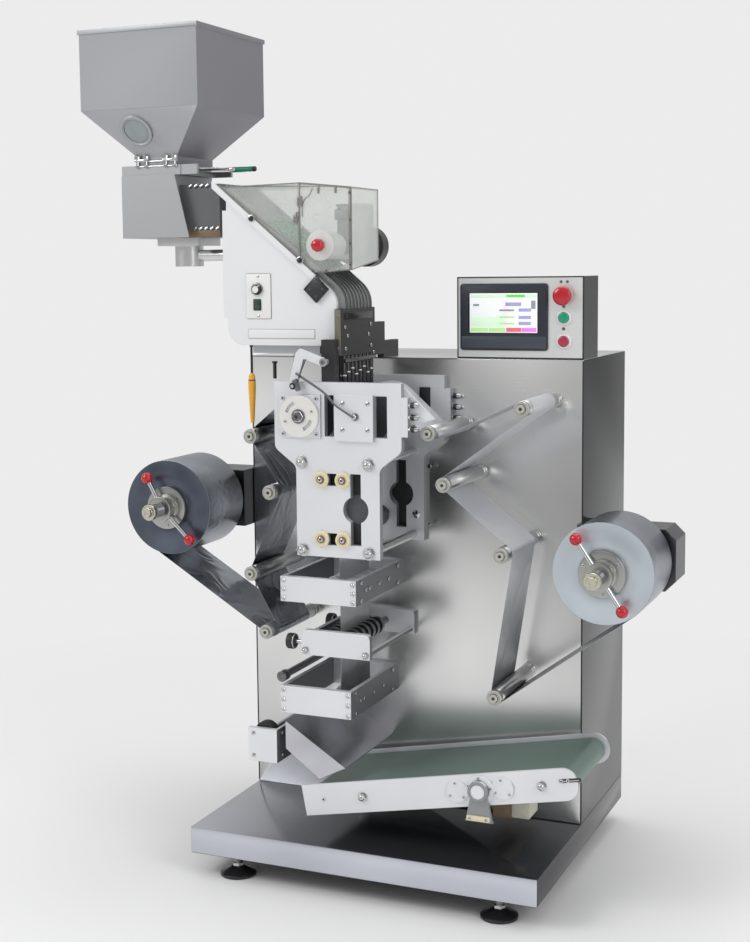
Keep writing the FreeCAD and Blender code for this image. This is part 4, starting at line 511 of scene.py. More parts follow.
def makeFilmFinish(name, colour, shade, roughness, size, relief, metallic=1.0, paintedLowShade=False):
    # Metallised film: broad soft creases under a gloss. Where it hangs down, painted shade darkens its
    # colour towards the lower roller
    tree, shader, position = newMaterial(name)
    creases = addNode(tree, "ShaderNodeGroup", {
        "Vector": position, "Size": size, "Colour": (*colour, 1), "Shade": (*shade, 1),
        "Shade Share": 1.1}, node_tree=creaseGroup)
    tone = creases.outputs["Colour"]
    if paintedLowShade:
        height = addNode(tree, "ShaderNodeSeparateXYZ", {0: position})
        lowShadeFactor = addNode(tree, "ShaderNodeMapRange", {
            "Value": height.outputs["Z"], "From Min": 0.46, "From Max": 0.76, "To Min": 0.3,
            "To Max": 1.0})
        tone = addNode(tree, "ShaderNodeVectorMath", {0: tone, 1: lowShadeFactor.outputs[0]},
                       operation="MULTIPLY").outputs[0]
    tree.links.new(tone, shader.inputs["Base Color"])
    bump = addNode(tree, "ShaderNodeBump", {
        "Strength": 0.35, "Distance": relief * mm, "Height": creases.outputs["Height"]})
    tree.links.new(bump.outputs[0], shader.inputs["Normal"])
    setShader(shader, Metallic=metallic, Roughness=roughness)


def makeAcrylicFinish(name, tint, base, rim):
    # Clear sheet: more of it shows where it is seen edge on
    tree, shader, position = newMaterial(name)
    facing = addNode(tree, "ShaderNodeLayerWeight", {"Blend": 0.35})
    cloud = addNode(tree, "ShaderNodeTexNoise", {"Vector": position, "Scale": 6.0, "Detail": 3.0})
    haze = math2(tree, "MULTIPLY", cloud.outputs["Fac"], base)
    shown = addNode(tree, "ShaderNodeMath", {
        0: facing.outputs["Facing"], 1: rim, 2: haze}, operation="MULTIPLY_ADD", use_clamp=True)
    tree.links.new(shown.outputs[0], shader.inputs["Alpha"])
    setShader(shader, Base_Color=(*tint, 1), Roughness=0.06, IOR=1.49)


makeFinishes()
makeFilmFinish("film", (0.66, 0.69, 0.74), (0.16, 0.18, 0.21), 0.22, 10.0, 2.4)
# The pale film gets the painted shade towards its lower roller
makeFilmFinish("filmPale", (0.98, 0.98, 0.99), (0.42, 0.45, 0.50), 0.30, 6.0, 3.5, 0.45, True)
makeFilmFinish("filmRoll", (0.46, 0.49, 0.54), (0.17, 0.19, 0.23), 0.30, 40.0, 1.2)
makeAcrylicFinish("acrylic", (0.80, 0.82, 0.80), 0.46, 0.55)
makeAcrylicFinish("edgeAcrylic", (0.26, 0.25, 0.23), 1.5, 0.6)
makeAcrylicFinish("glass", (0.30, 0.34, 0.35), 2.2, 0.5)
makeAcrylicFinish("greenGlass", (0.02, 0.24, 0.16), 1.7, 0.6)

rollerNames = [
    "left_lower_roller", "left_deflector_roller", "left_middle_roller", "left_upper_roller",
    "right_lower_roller", "right_middle_roller", "right_inner_roller", "right_upper_roller",
    "right_entry_roller"]
finishOf = {
    "cabinetSteel": ["cabinet_housing", "cabinet_rear_door"],
    "boxSteel": ["control_box"],
    "plinthSteel": ["base_plinth"],
    "armSteel": ["reel_arms"],
    "hopperSteel": ["hopper_bin", "hopper_cone", "hopper_gate"],
    "boxGrey": ["feeder_box"],
    "blackGloss": ["levelling_feet", "touch_screen"],
    "redPlastic": ["control_buttons"],
    "rollerAluminium": rollerNames + ["hopper_column"],
    "groundSteel": [
        "guide_roller_pins", "head_tie_bars", "left_reel_spindle", "right_reel_spindle",
        "conveyor_rollers"],
    "darkSteel": [
        "left_sealing_roller", "right_sealing_roller", "left_perforating_shaft",
        "right_perforating_shaft"],
    "discCream": ["timing_disc"],
    "stationSteel": ["station_frames", "waste_puller_frame"],
    "film": ["left_film"],
    "filmPale": ["right_film"],
    "filmRoll": ["left_film_roll", "right_film_roll"],
    "plateAluminium": [
        "head_front_plate", "head_back_plate", "head_bars", "sliding_bearing_block",
        "rocker_lever", "conveyor_side_plates"],
    "nylon": ["nylon_rollers"],
    "drumRubber": ["lower_head_roller"],
    "rubber": ["waste_wheel"],
    "chuteSteel": ["discharge_chute"],
    "greenBelt": ["conveyor_belt"],
    "brownPaint": ["conveyor_gear_motor"],
    "greyPaint": ["vibrator_unit"],
    "whitePaint": ["feeder_body"],
    "whitePlastic": ["feeder_control_plate"],
    "laneSteel": ["lane_track"],
    "acrylic": ["clear_dome"],
    "brushHair": ["brush_roller", "brush_mount"],
    "blackMatt": ["lane_guide_block"],
    "darkPlate": ["feeder_support"],
    "yellowPlastic": ["hanging_lever"],
}
for finish, names in finishOf.items():
    for name in names:
        nodes[name].data.materials.clear()
        nodes[name].data.materials.append(materials[finish])
print("finishes:", len(materials))


# Fasteners, each a list of parts that goes into a piece
def domeNut(centre, radius, height):
    # Six-sided nut under a half ball: ball radius at height h is r * sqrt(1 - h^2)
    rise = np.linspace(0, 1, 6)
    ball = [(radius * 0.82 * math.sqrt(1 - h * h), height * (0.5 + 0.5 * h)) for h in rise[:-1]]
    ball.append((radius * 0.12, height))
    washer = [(radius * 1.25, 0), (radius * 1.3, 0.4), (radius * 1.25, 1.2), (radius, 1.2)]
    nut = [(radius * 0.9, 1.2), (radius, 1.8), (radius, height * 0.5 - 0.6),
           (radius * 0.88, height * 0.5)]
    return turnedRows(centre, [
        (washer, "groundSteel", 28), (nut, "chrome", 36, hexagonal), (ball, "chrome", 24)])


def capScrew(centre, radius, height, along="Y", finish="chrome"):
    # Round head with a soft edge, and a black hexagon of painted shade for its six-sided hollow
    head = [(radius * 0.96, 0), (radius, 0.3), (radius, height * 0.75), (radius * 0.9, height)]
    hollowShade = [(radius * 0.5, height - 0.2), (radius * 0.5, height + 0.12),
              (radius * 0.45, height + 0.16)]
    return turnedRows(centre, [(head, finish, 24), (hollowShade, "blackMatt", 6)], along)


def slotScrew(centre, radius, height):
    # Low domed head: height = h * (1 - (r / R)^2), with a black bar of painted shade across it for its
    # slot
    share = np.linspace(1, 0.12, 6)
    head = [(radius, 0)] + [(radius * s, height * (0.35 + 0.65 * (1 - s * s))) for s in share]
    slot = plate((radius * 1.7, radius * 0.26, radius * 0.1, 2), height * 0.8, height * 0.35,
                 "blackMatt", centre, bevel=0.1, turn=0.6)
    return [turned(head, centre, "chrome", sides=24), slot]


def many(maker, places, *sizes, **looks):
    # The maker's parts at every place
    return [part for place in places for part in maker(at(*place), *sizes, **looks)]


def ringScrews(x, reach, z, ring, angles, *sizes):
    # Cap screws on a circle: place = middle + ring * (cos angle, sin angle)
    places = [(x + ring * math.cos(angle), reach, z + ring * math.sin(angle)) for angle in angles]
    return many(capScrew, places, *sizes)


def edged(nodeName, finish, width):
    # Copy of a frame part with its points joined, flat areas dissolved and its edges bevelled
    source = nodes[nodeName]
    mesh = source.data.copy()
    mesh.transform(source.matrix_world)
    mesh.materials.clear()
    mesh.materials.append(materials[finish])
    shape = bmesh.new()
    shape.from_mesh(mesh)
    bmesh.ops.remove_doubles(shape, verts=shape.verts, dist=0.00002)
    bmesh.ops.dissolve_limit(
        shape, angle_limit=math.radians(2), verts=shape.verts, edges=shape.edges)
    shape.to_mesh(mesh)
    shape.free()
    mesh.polygons.foreach_set("use_smooth", [True] * len(mesh.polygons))
    piece = newObject(nodeName + "Edged", mesh)
    bevel = piece.modifiers.new("edges", "BEVEL")
    bevel.width = width * mm
    bevel.segments = 2
    bevel.limit_method = "ANGLE"
    bevel.angle_limit = math.radians(32)
    bevel.harden_normals = True
    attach(piece, "root")
    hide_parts(nodeName)


# Head: studs, screws, discs, and black sheets of painted shade behind its openings
head = {
    "front": plateFront, "back": 16, "coverFront": 284, "bearingFront": 280, "discFront": 287,
    "ties": [(259, 931), (413, 931), (259, 742), (413, 742)],
    "nylon": [(305, 896), (355, 896), (305, 768), (355, 768)],
    "coverScrews": [(359, 1060), (416, 1060), (358, 1004), (415, 1004)],
    "bearingScrews": [(218, 1068), (296, 1068), (218, 992), (296, 992)],
    "backScrews": [(452, 899), (451, 769)], "backStud": (419, 788),
    "springs": [1008, 1033, 1058], "springEdge": 502, "springBehind": 8,
    "disc": (257, 1030), "discRing": 33, "discTurns": (0.35, 0.35 + math.pi),
    "shade": (350, 833), "shadeSize": (108, 166, 4), "shadeBehind": 16, "eye": (383, 833),
    "keyhole": [
        (395, 757), (395, 807), (411, 826), (412, 833), (411, 841), (395, 860), (395, 909),
        (371, 909), (371, 860), (355, 841), (354, 833), (355, 826), (371, 807), (371, 757)],
    "window": (442, 1053), "windowSize": (26, 46, 1.5),
}


def nylonRoller(place):
    return turnedRows(place, [
        ([(16.2, 0), (17.2, 1), (17.2, 7), (16, 8.3), (12, 8.6), (11.4, 7.6)], "nylon", 44),
        ([(8.6, 7.4), (8.6, 9.0), (7.6, 9.4)], "brownPaint", 28),
        ([(5.4, 9.0), (5.4, 11.4), (4.4, 12.2)], "groundSteel", 24),
        # black hexagon: painted shade in the axle end's hollow
        ([(2.6, 12.0), (2.6, 12.4), (2.2, 12.5)], "blackMatt", 6)])


def springBolt(place):
    # Nut, black spring cup and round-ended pin on the plate's right edge
    return turnedRows(place, [
        ([(7.2, 0), (7.6, 0.6), (7.6, 4.4), (6.4, 5)], "chrome", 32, hexagonal),
        ([(6.2, 5), (6.4, 5.6), (6.4, 12), (5.8, 12.6)], "blackGloss", 24),
        ([(5.2, 12.4), (5.2, 18), (4, 20.6), (1.4, 22)], "chrome", 24)], "X")


def makeHead():
    front, back = head["front"], head["back"]
    addPiece("headStudNuts", many(domeNut, [(x, front, z) for x, z in head["ties"]], 11.4, 15))
    addPiece("nylonRollersTurned", many(nylonRoller, [(x, front, z) for x, z in head["nylon"]]),
             replaces=("nylon_rollers",), smoothAngle=50)
    parts = many(slotScrew, [(x, head["coverFront"], z) for x, z in head["coverScrews"]], 5, 2.4)
    parts += many(capScrew, [(x, head["bearingFront"], z) for x, z in head["bearingScrews"]], 4.5, 3)
    addPiece("headCoverScrews", parts)
    addPiece("springBolts", many(springBolt, [
        (head["springEdge"], face - head["springBehind"], z) for face in (front, back)
        for z in head["springs"]]))
    x, z = head["disc"]
    parts = turnedRows(at(x, head["discFront"], z), [
        ([(15, 0), (15.4, 0.6), (15.4, 2), (14.6, 2.6)], "darkSteel", 40),
        ([(13, 2.4), (13, 4.6), (12, 5.4)], "chrome", 36, hexagonal),
        ([(9.2, 5.2), (9.2, 10), (8, 11)], "darkSteel", 32),
        # black hexagon: painted shade in the bolt's hollow
        ([(4.2, 10.8), (4.2, 11.3), (3.8, 11.4)], "blackMatt", 6)])
    parts += ringScrews(x, head["discFront"], z, head["discRing"], head["discTurns"], 3, 2)
    addPiece("timingDiscBolt", parts, "left_sealer")
    x, z = head["backStud"]
    parts = many(capScrew, [(x, back, z) for x, z in head["backScrews"]], 5, 4)
    addPiece("headPlateScrews", parts + slotScrew(at(x, back, z), 9, 3))


def makeSlotShades():
    behind = head["front"] - head["shadeBehind"]
    (x, z), (eyeAcross, eyeHeight), (windowAcross, windowHeight) = (
        head[key] for key in ("shade", "eye", "window"))
    keyhole = np.array(head["keyhole"])
    middle = keyhole.mean(axis=0)
    # Black sheets of painted shade behind the front plate's slot, in the back plate's keyhole on the
    # cabinet's face and over the back plate's window; the rubber disc is the drum's end seen through the
    # eye
    addPiece("slotShades", [
        plate(head["shadeSize"], -4, 3, "blackMatt", at(x, behind, z), bevel=0.5),
        turned([(31, -3.4), (31, -0.6), (28, -0.3), (4, -0.2)], at(eyeAcross, behind, eyeHeight),
               "drumRubber", sides=64),
        slab(keyhole - middle, 0, 1.2, "blackMatt", at(middle[0], 0, middle[1]), bevel=0.3),
        plate(head["windowSize"], 0, 1.4, "blackMatt", at(windowAcross, head["back"], windowHeight),
              bevel=0.4)])


lever = {
    "front": 288, "pivot": (318, 1146), "end": (248, 1095), "pin": (387, 1032),
    "rod": [(254, 290, 1122), (322, 292, 1082), (345, 294, 1057), (387, 294, 1032)],
    "wire": [(279, 293, 1152), (268, 294, 1126), (262, 294, 1112)],
}


def makeLeverLinks():
    front = lever["front"]
    x, z = lever["pivot"]
    parts = turnedRows(at(x, front, z), [
        ([(8.4, 0), (8.8, 0.5), (8.8, 4), (8, 4.6)], "chrome", 32),
        ([(5, 4.4), (5, 6.4), (4.4, 7)], "darkSteel", 6)])
    x, z = lever["end"]
    parts += turnedRows(at(x, front, z), [
        ([(7, 0), (7.4, 0.5), (7.4, 7), (6.6, 7.6)], "blackMatt", 32),
        ([(4, 7.4), (4, 10), (3.2, 10.6)], "chrome", 6)])
    parts.append(plate((11, 26, 3), 0, 7, "darkSteel", at(x + 8, front, z + 2), bevel=1, turn=0.35))
    for name, corner, radius, finish, sides in (
            ("rod", 0.012, 2.6, "darkSteel", 12), ("wire", 0.006, 1.1, "blackMatt", 8)):
        path = softened([at(*point) for point in lever[name]], corner, 4)
        parts.append(carried(path, radius, finish, sides))
    x, z = lever["pin"]
    parts += turnedRows(at(x, head["coverFront"], z), [
        ([(5.4, 0), (5.6, 8), (4.8, 9)], "chrome", 24),
        ([(8, 0), (8.2, 0.6), (8.2, 2), (7.6, 2.4)], "darkSteel", 24)])
    addPiece("leverLinks", parts)


rollers = {
    "tube": [
        (6.4, 14), (15, 14), (16, 15), (16, 26), (15.6, 26.4), (15.6, 27.6), (16, 28), (16, 238),
        (15.6, 238.4), (15.6, 239.6), (16, 240), (16, 249), (9.6, 249), (9.2, 248), (6.4, 248)],
    "end": [
        (9.8, 249), (15.9, 249), (16, 251), (15.2, 252), (13.4, 252), (13, 251.2), (12.2, 251.2),
        (11.8, 252), (10.2, 252), (9.8, 251)],
    "pin": [(14, 0), (14, 7), (13, 8), (6, 8), (5.9, 252.6), (6.1, 252.8)],
    "pinHead": [
        (5, 252.8), (8.6, 252.9), (9, 253.6), (9, 256), (8.4, 257), (5.2, 257.2), (4.8, 256.2),
        (1, 256)],
    # black hexagon of painted shade in the pin head's hollow
    "hollowShade": [(3.6, 256), (3.6, 256.7), (3.2, 256.8)],
    "guide": (190, 0, 449),
    "guidePin": [
        (14, 0), (14, 7), (13, 8), (8, 8), (8, 229), (11.4, 229.4), (12, 230), (12, 251), (11, 252),
        (5, 252), (4.6, 250.6), (1, 250.6)],
}


def makeRollers():
    pins = []
    for nodeName in rollerNames:
        centre = faceCentre(nodeName)
        addPiece(nodeName + "Turned", [
            turned(rollers["tube"], centre, "rollerAluminium", sides=56, loop=True),
            turned(rollers["end"], centre, "endSteel", sides=56, loop=True)],
            nodeName + "_body", (nodeName,), 50)
        pins += turnedRows(centre, [
            (rollers["pin"], "groundSteel", 32), (rollers["pinHead"], "endSteel", 32),
            (rollers["hollowShade"], "blackMatt", 6)])
    pins.append(turned(rollers["guidePin"], at(*rollers["guide"]), "darkSteel", sides=36))
    addPiece("rollerPinsTurned", pins, replaces=("guide_roller_pins",),
             smoothAngle=50)


reels = {
    "left": {"grips": ((119, 78), (-44, 95)), "faceFinish": "rollFaceDark"},
    "right": {"grips": ((124, 87), (-56, 83)), "faceFinish": "rollFacePale"},
    "gripReach": 257, "shank": (26, 45), "ball": 13, "screwReach": 242, "screwRing": 40,
    "screwTurns": (35, 155, 275),
    "back": [(15, -40), (15, 58), (47, 58), (49, 59.4), (49, 68.6), (47, 70), (38, 70)],
    "clamp": [
        (16, 229.8), (46, 229.8), (48.6, 231), (49, 232.4), (49, 239.6), (48, 241.4), (45, 242),
        (31, 242), (30.4, 242.6), (30.4, 246), (27, 247), (27, 262), (29, 263), (29, 271.4),
        (27.6, 272), (24, 272)],
    "thread": [(15.2, 272)] + threaded(272, 2.6, 12, 15.4, 14.2),
    "cap": [
        (15.4, 303.4), (17.4, 304), (18, 305), (18, 316), (17, 317.4), (11, 317.6), (10.4, 318.4),
        (10.4, 326), (9.6, 327), (4.2, 327), (4, 325.6), (1, 325.6)],
    "armReach": 48, "armScrews": [((-52, -160), (762, 854)), ((852, 960), (679, 771))],
}


def aroundReel(centre, turn, away, reach):
    # Point at a turn in degrees and a distance from the reel's axis, reach in front of the face
    angle = math.radians(turn)
    return centre + np.array([math.cos(angle) * away, -reach, math.sin(angle) * away]) * mm


def makeReels():
    rise = np.linspace(-0.98, 0.98, 13)
    ball = [(reels["ball"] * math.sqrt(1 - h * h), reels["ball"] * h) for h in rise]
    for side in ("left", "right"):
        body, roll = side + "_reel", side + "_film_roll"
        low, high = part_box(roll)
        centre, radius = faceCentre(roll), (high.x - low.x) / 2 / mm
        rim = radius - 0.5
        addPiece(side + "RollWound", turnedRows(centre, [
            ([(38, 70), (rim, 70), (radius, 70.5), (radius, 229.6), (rim, 230)], "filmRoll", 96),
            ([(rim, 230), (radius * 0.74, 230.1), (radius * 0.73, 230.5), (40, 230.6), (38, 229.6)],
             reels[side]["faceFinish"], 96)]), body, (roll,), 50)
        parts = turnedRows(centre, [
            (reels["back"], "darkSteel", 64), (reels["clamp"], "reelSteel", 72),
            ([(37, 70), (37, 229.8)], "darkSteel", 40), (reels["thread"], "darkSteel", 48),
            (reels["cap"], "brassSteel", 48)])
        for turn, away in reels[side]["grips"]:
            path = [aroundReel(centre, turn, step, reels["gripReach"])
                    for step in (*reels["shank"], away - 8)]
            parts.append(carried(path, [5.6, 5.0, 4.8], "chrome", 16))
            parts.append(turned(ball, aroundReel(centre, turn, away, reels["gripReach"]),
                                "redPlastic", sides=28))
        for turn in reels["screwTurns"]:
            place = aroundReel(centre, turn, reels["screwRing"], reels["screwReach"])
            parts += capScrew(place, 3.4, 2.4)
        addPiece(side + "ReelClamp", parts, body, (side + "_reel_spindle",), 40)
    places = [(x, reels["armReach"], z) for columns, rows in reels["armScrews"]
              for x in columns for z in rows]
    addPiece("reelArmScrews", many(capScrew, places, 6, 4))


makeHead()
makeSlotShades()
makeLeverLinks()
makeRollers()
makeReels()
print("head, rollers and reels")


# Stations: screws and the small handwheels
stations = {
    "front": plateFront,
    "slitter": {"left": 203, "right": 381, "low": 625, "high": 680},
    "cutter": {"left": 199, "right": 367, "low": 377, "high": 437},
    "perforator": {"left": 251, "right": 412, "low": 511, "high": 566},
    "sideScrews": [(250, 0), (250, 2), (205, 1), (150, 1), (95, 1), (40, 0), (40, 2), (225, 1)],
    "wheels": [(222, 269, 537), (222, 60, 537)],
    "grip": [
        (4, -6), (13, -6), (16.4, -4.6), (17.2, -2), (17.2, 9), (15.6, 11.4), (9, 12.4), (8, 15),
        (4.6, 16)],
}


def makeStations():
    front = stations["front"]
    parts = []
    for name in ("slitter", "cutter"):
        box = stations[name]
        rows = np.linspace(box["low"] + 8, box["high"] - 8, 3)
        for x in (box["left"] + 7, box["right"] - 7):
            parts += many(domeNut, [(x, front, z) for z in rows], 4.6, 5)
        places = [(box["right"], reach, rows[row]) for reach, row in stations["sideScrews"]]
        parts += many(capScrew, places, 4.4, 3.4, "X")
    box = stations["perforator"]
    corners = [(x, front, box["low"] + 10) for x in (box["left"] + 10, box["right"] - 10)]
    addPiece("stationScrews", parts + many(domeNut, corners, 7, 10))
    parts = []
    for place in stations["wheels"]:
        parts += turnedRows(at(*place), [
            (stations["grip"], "blackMatt", 48, notched(8, 0.05, 0.55)),
            ([(4.4, 15), (4.4, 29)], "groundSteel", 20),
            ([(3, -6.6), (5, -6.4), (5, -5)], "chrome", 20)], "X")
    addPiece("perforatorHandwheels", parts)


waste = {
    "front": plateFront, "screws": [(131, 322), (131, 272)], "side": 188,
    "sideScrews": [(250, 322), (250, 272), (150, 322), (150, 272)],
    "tyre": [
        (6.4, 235), (22, 235), (22.6, 235.6), (25.4, 235.6), (26, 237), (26, 256), (25.4, 257.4),
        (22.6, 257.4), (22, 258), (6.4, 258)],
}


def makeWaste():
    parts = many(slotScrew, [(x, waste["front"], z) for x, z in waste["screws"]], 4.6, 2)
    parts += many(capScrew, [(waste["side"], *place) for place in waste["sideScrews"]], 4, 3, "X")
    addPiece("wastePullerScrews", parts)
    tyre = turned(waste["tyre"], faceCentre("waste_wheel"), "rubber", sides=72, loop=True,
                  shape=notched(24, 0.012, 0))
    addPiece("wasteWheelTyre", [tyre], "waste_puller", ("waste_wheel",), 30)


conveyor = {
    "slope": math.radians(10.7), "left": 286, "height": 190, "front": plateFront,
    "nuts": (392, 791), "endScrew": 300, "bosses": (608, 708), "bossRing": 18,
    "bossTurns": np.radians((105, 215, 325)), "driveTurns": np.radians((95, 165, 15)),
    "tightener": (850, 8), "tightenerScrews": (832, 846), "drive": 658, "driveRing": 26,
    "shield": [
        (-31, -66), (31, -66), (28, -62), (15.5, 0), (14, 15), (0, 22.5), (-14, 15), (-15.5, 0),
        (-28, -62)],
    "footDrop": -58, "footScrew": 18, "gearbox": (722, 140, 203), "motorEnd": (682, 140, 200),
}


def onBelt(across, rise=0.0):
    # Height of the belt's line at a place across, plus a rise square to the floor
    return conveyor["height"] + (across - conveyor["left"]) * math.tan(conveyor["slope"]) + rise


def makeConveyor():
    front, lean = conveyor["front"], conveyor["slope"]
    parts = many(domeNut, [(x, front, onBelt(x)) for x in conveyor["nuts"]], 9, 13)
    x = conveyor["endScrew"]
    parts += capScrew(at(x, front, onBelt(x)), 4.4, 2.6)
    for x in conveyor["bosses"]:
        parts += ringScrews(x, front + 3, onBelt(x), conveyor["bossRing"], conveyor["bossTurns"], 3, 2)
    drive = conveyor["drive"]
    place = at(drive, front, onBelt(drive))
    collar = [(22, 0), (30, 0), (31, 0.8), (31, 4), (30, 5), (22, 5)]
    ring = [(15.4, 15.8), (21, 15.8), (21.6, 16.4), (21.6, 18), (20.6, 19), (16, 19), (15.4, 18.2)]
    parts += [
        turned(collar, place, "whitePaint", sides=64, loop=True),
        turned(ring, place, "greyBracket", sides=56, loop=True),
        turned([(15.2, 16), (15.2, 17.6), (14.4, 18.2), (2, 18.3)], place, "whitePaint", sides=48)]
    x, rise = conveyor["tightener"]
    slotPlace = at(x, front, onBelt(x, rise))
    # Thin black sheet of painted shade for the tightener's slot, with a steel bar in it
    parts += [plate((48, 8, 3.6), 0, 0.8, "blackMatt", slotPlace, bevel=0.2, turn=lean),
              plate((40, 2.4, 1), 0.6, 2.4, "groundSteel", slotPlace, bevel=0.5, turn=lean)]
    places = [(x, front, onBelt(x, rise)) for x in conveyor["tightenerScrews"]]
    parts += many(capScrew, places, 4, 3.6)
    parts += ringScrews(drive, front + 5, onBelt(drive), conveyor["driveRing"],
                        conveyor["driveTurns"], 2.8, 2)
    addPiece("conveyorBearings", parts)
    foot = onBelt(drive, conveyor["footDrop"])
    away = conveyor["footScrew"]
    screws = [(x, front + 15, foot) for x in (drive - away, drive + away)]
    addPiece("driveBracket", [
        slab(conveyor["shield"], 0.2, 10.6, "greyBracket", place, bevel=1.0),
        plate((50, 11, 2), 10.4, 5, "nylon", at(drive, front, foot))]
        + many(capScrew, screws, 3.4, 2.4))
    box = at(*conveyor["gearbox"])
    addPiece("motorGearbox", [
        plate((44, 44, 4), 0, 60, "brownPaint", at(*conveyor["motorEnd"]), bevel=2),
        plate((40, 44, 4), 0, 60, "creamPaint", box, bevel=2),
        plate((30, 34, 3), 60, 3, "creamPaint", box, bevel=1)])


makeStations()
makeWaste()
makeConveyor()
print("stations and conveyor")


def leant(part, centre, turn, axis):
    # Rotation about the X or Y axis through the centre, with u the axis that turns towards z:
    # u' = u cos - z sin, z' = u sin + z cos
    points, faces, finish = part
    away = points - centre
    u = {"X": 1, "Y": 0}[axis]
    c, s = math.cos(turn), math.sin(turn)
    spun = away.copy()
    spun[:, u] = away[:, u] * c - away[:, 2] * s
    spun[:, 2] = away[:, u] * s + away[:, 2] * c
    return centre + spun, faces, finish


hopper = {
    "glass": (-137, 264.5, 1648), "glassLean": math.atan(0.75),
    "ring": [
        (30, 0.5), (38, 0.5), (38.4, 1.2), (38.4, 4), (37, 5.2), (33.4, 5.2), (32.6, 4), (30, 3.6)],
    "lens": [(31, 1), (30, 2.2), (24, 2.8), (14, 3.2), (4, 3.3)],
    "clamps": (-149, -77), "clampReach": 226, "clampLow": 1574, "clampHigh": 1596, "clampBar": 1585,
    "clampScrews": (-11, 11), "rods": (1572, 1583),
    "vibratorFront": 205, "louvres": [(1527, (-38, -24, -10, 4)), (1433, (-28, -14, 0, 14, 28))],
    "louvreTurn": 0.5, "opening": (-16, 1422), "openingSize": (98, 15, 2),
    "gateLeft": -162, "gateRight": 31, "gateReach": 140, "gateHeight": 1563.5,
    "grip": [
        (4, -4), (4.2, 2), (5.6, 3), (6, 5), (5.6, 12), (5.9, 24), (5.5, 36), (5.9, 48), (5.4, 54)],
}


def makeHopper():
    centre = at(*hopper["glass"])
    parts = [turned(hopper["ring"], centre, "hopperSteel", sides=72, loop=True),
             turned(hopper["lens"], centre, "glass", sides=72)]
    addPiece("hopperSightGlass", [leant(part, centre, hopper["glassLean"], "X") for part in parts],
             smoothAngle=50)
    low, high, reach = hopper["clampLow"], hopper["clampHigh"], hopper["clampReach"]
    knob = [(3, low - 3), (3, high - 10), (6.8, high - 9.6), (7.4, high - 8.4), (7.4, high - 1.6),
            (6.4, high), (3.4, high + 0.6)]
    nut = [(5.4, low - 4), (6, low - 3.6), (6, low + 0.4), (5.2, low + 1)]
    parts = []
    for x in hopper["clamps"]:
        for spot in hopper["clampScrews"]:
            parts += turnedRows(at(x + spot, reach, 0), [
                (knob, "chrome", 28, notched(10, 0.06, 0.4)), (nut, "groundSteel", 6)], "Z")
        parts.append(plate((36, 5, 2.2), -4, 9, "chrome", at(x, reach, hopper["clampBar"]), bevel=1.2))
    left, right = hopper["clamps"]
    for z in hopper["rods"]:
        path = [at(x, reach - 1, z) for x in np.linspace(left - 16, right + 18, 5)]
        parts.append(carried(path, 2.0, "chrome"))
    addPiece("hopperClamps", parts)
    front, turn = hopper["vibratorFront"], hopper["louvreTurn"]
    parts = []
    # Each louvre gets a thin black sheet of painted shade just below it for its opening
    for place in [at(x, front, z) for z, row in hopper["louvres"] for x in row]:
        parts += [plate((11.5, 4.6, 2.2), 0, 3.4, "groundSteel", place, bevel=1.5, turn=turn),
                  plate((8.5, 2.4, 1.1), 0, 0.5, "blackMatt", place + [0.001, 0, -0.0042], bevel=0.2,
                        turn=turn)]
    x, z = hopper["opening"]
    parts.append(plate(hopper["openingSize"], -0.6, 1.2, "brownPaint", at(x, front, z), bevel=0.4))
    addPiece("vibratorLouvres", parts)


def makeGate():
    left, right, reach, z = (
        hopper[key] for key in ("gateLeft", "gateRight", "gateReach", "gateHeight"))
    parts = [
        plate((right - left, 150, 6), -1.5, 3, "groundSteel", at((left + right) / 2, reach, z), "Z", 0.5),
        plate((16, 22, 3), -3.5, 7, "groundSteel", at(right + 4, reach, z), "Z", 1)]
    parts += turnedRows(at(right, reach, z), [
        (hopper["grip"], "greenGlass", 32),
        ([(5.2, 53.4), (6, 54.4), (6, 58), (5, 60)], "blackGloss", 32)], "X")
    addPiece("gateBlade", parts, "gate", ("hopper_gate",), 40)


feeder = {
    "front": 225, "plate": (136.5, 1283.5), "plateDepth": 2.4, "screwRise": 43,
    "dial": (134, 1298), "switch": (134, 1265), "strip": (190, 1202),
    "sensor": (277, 1298), "sensorScrew": 15, "stripBolts": [(124, 1451), (239, 1360)],
}


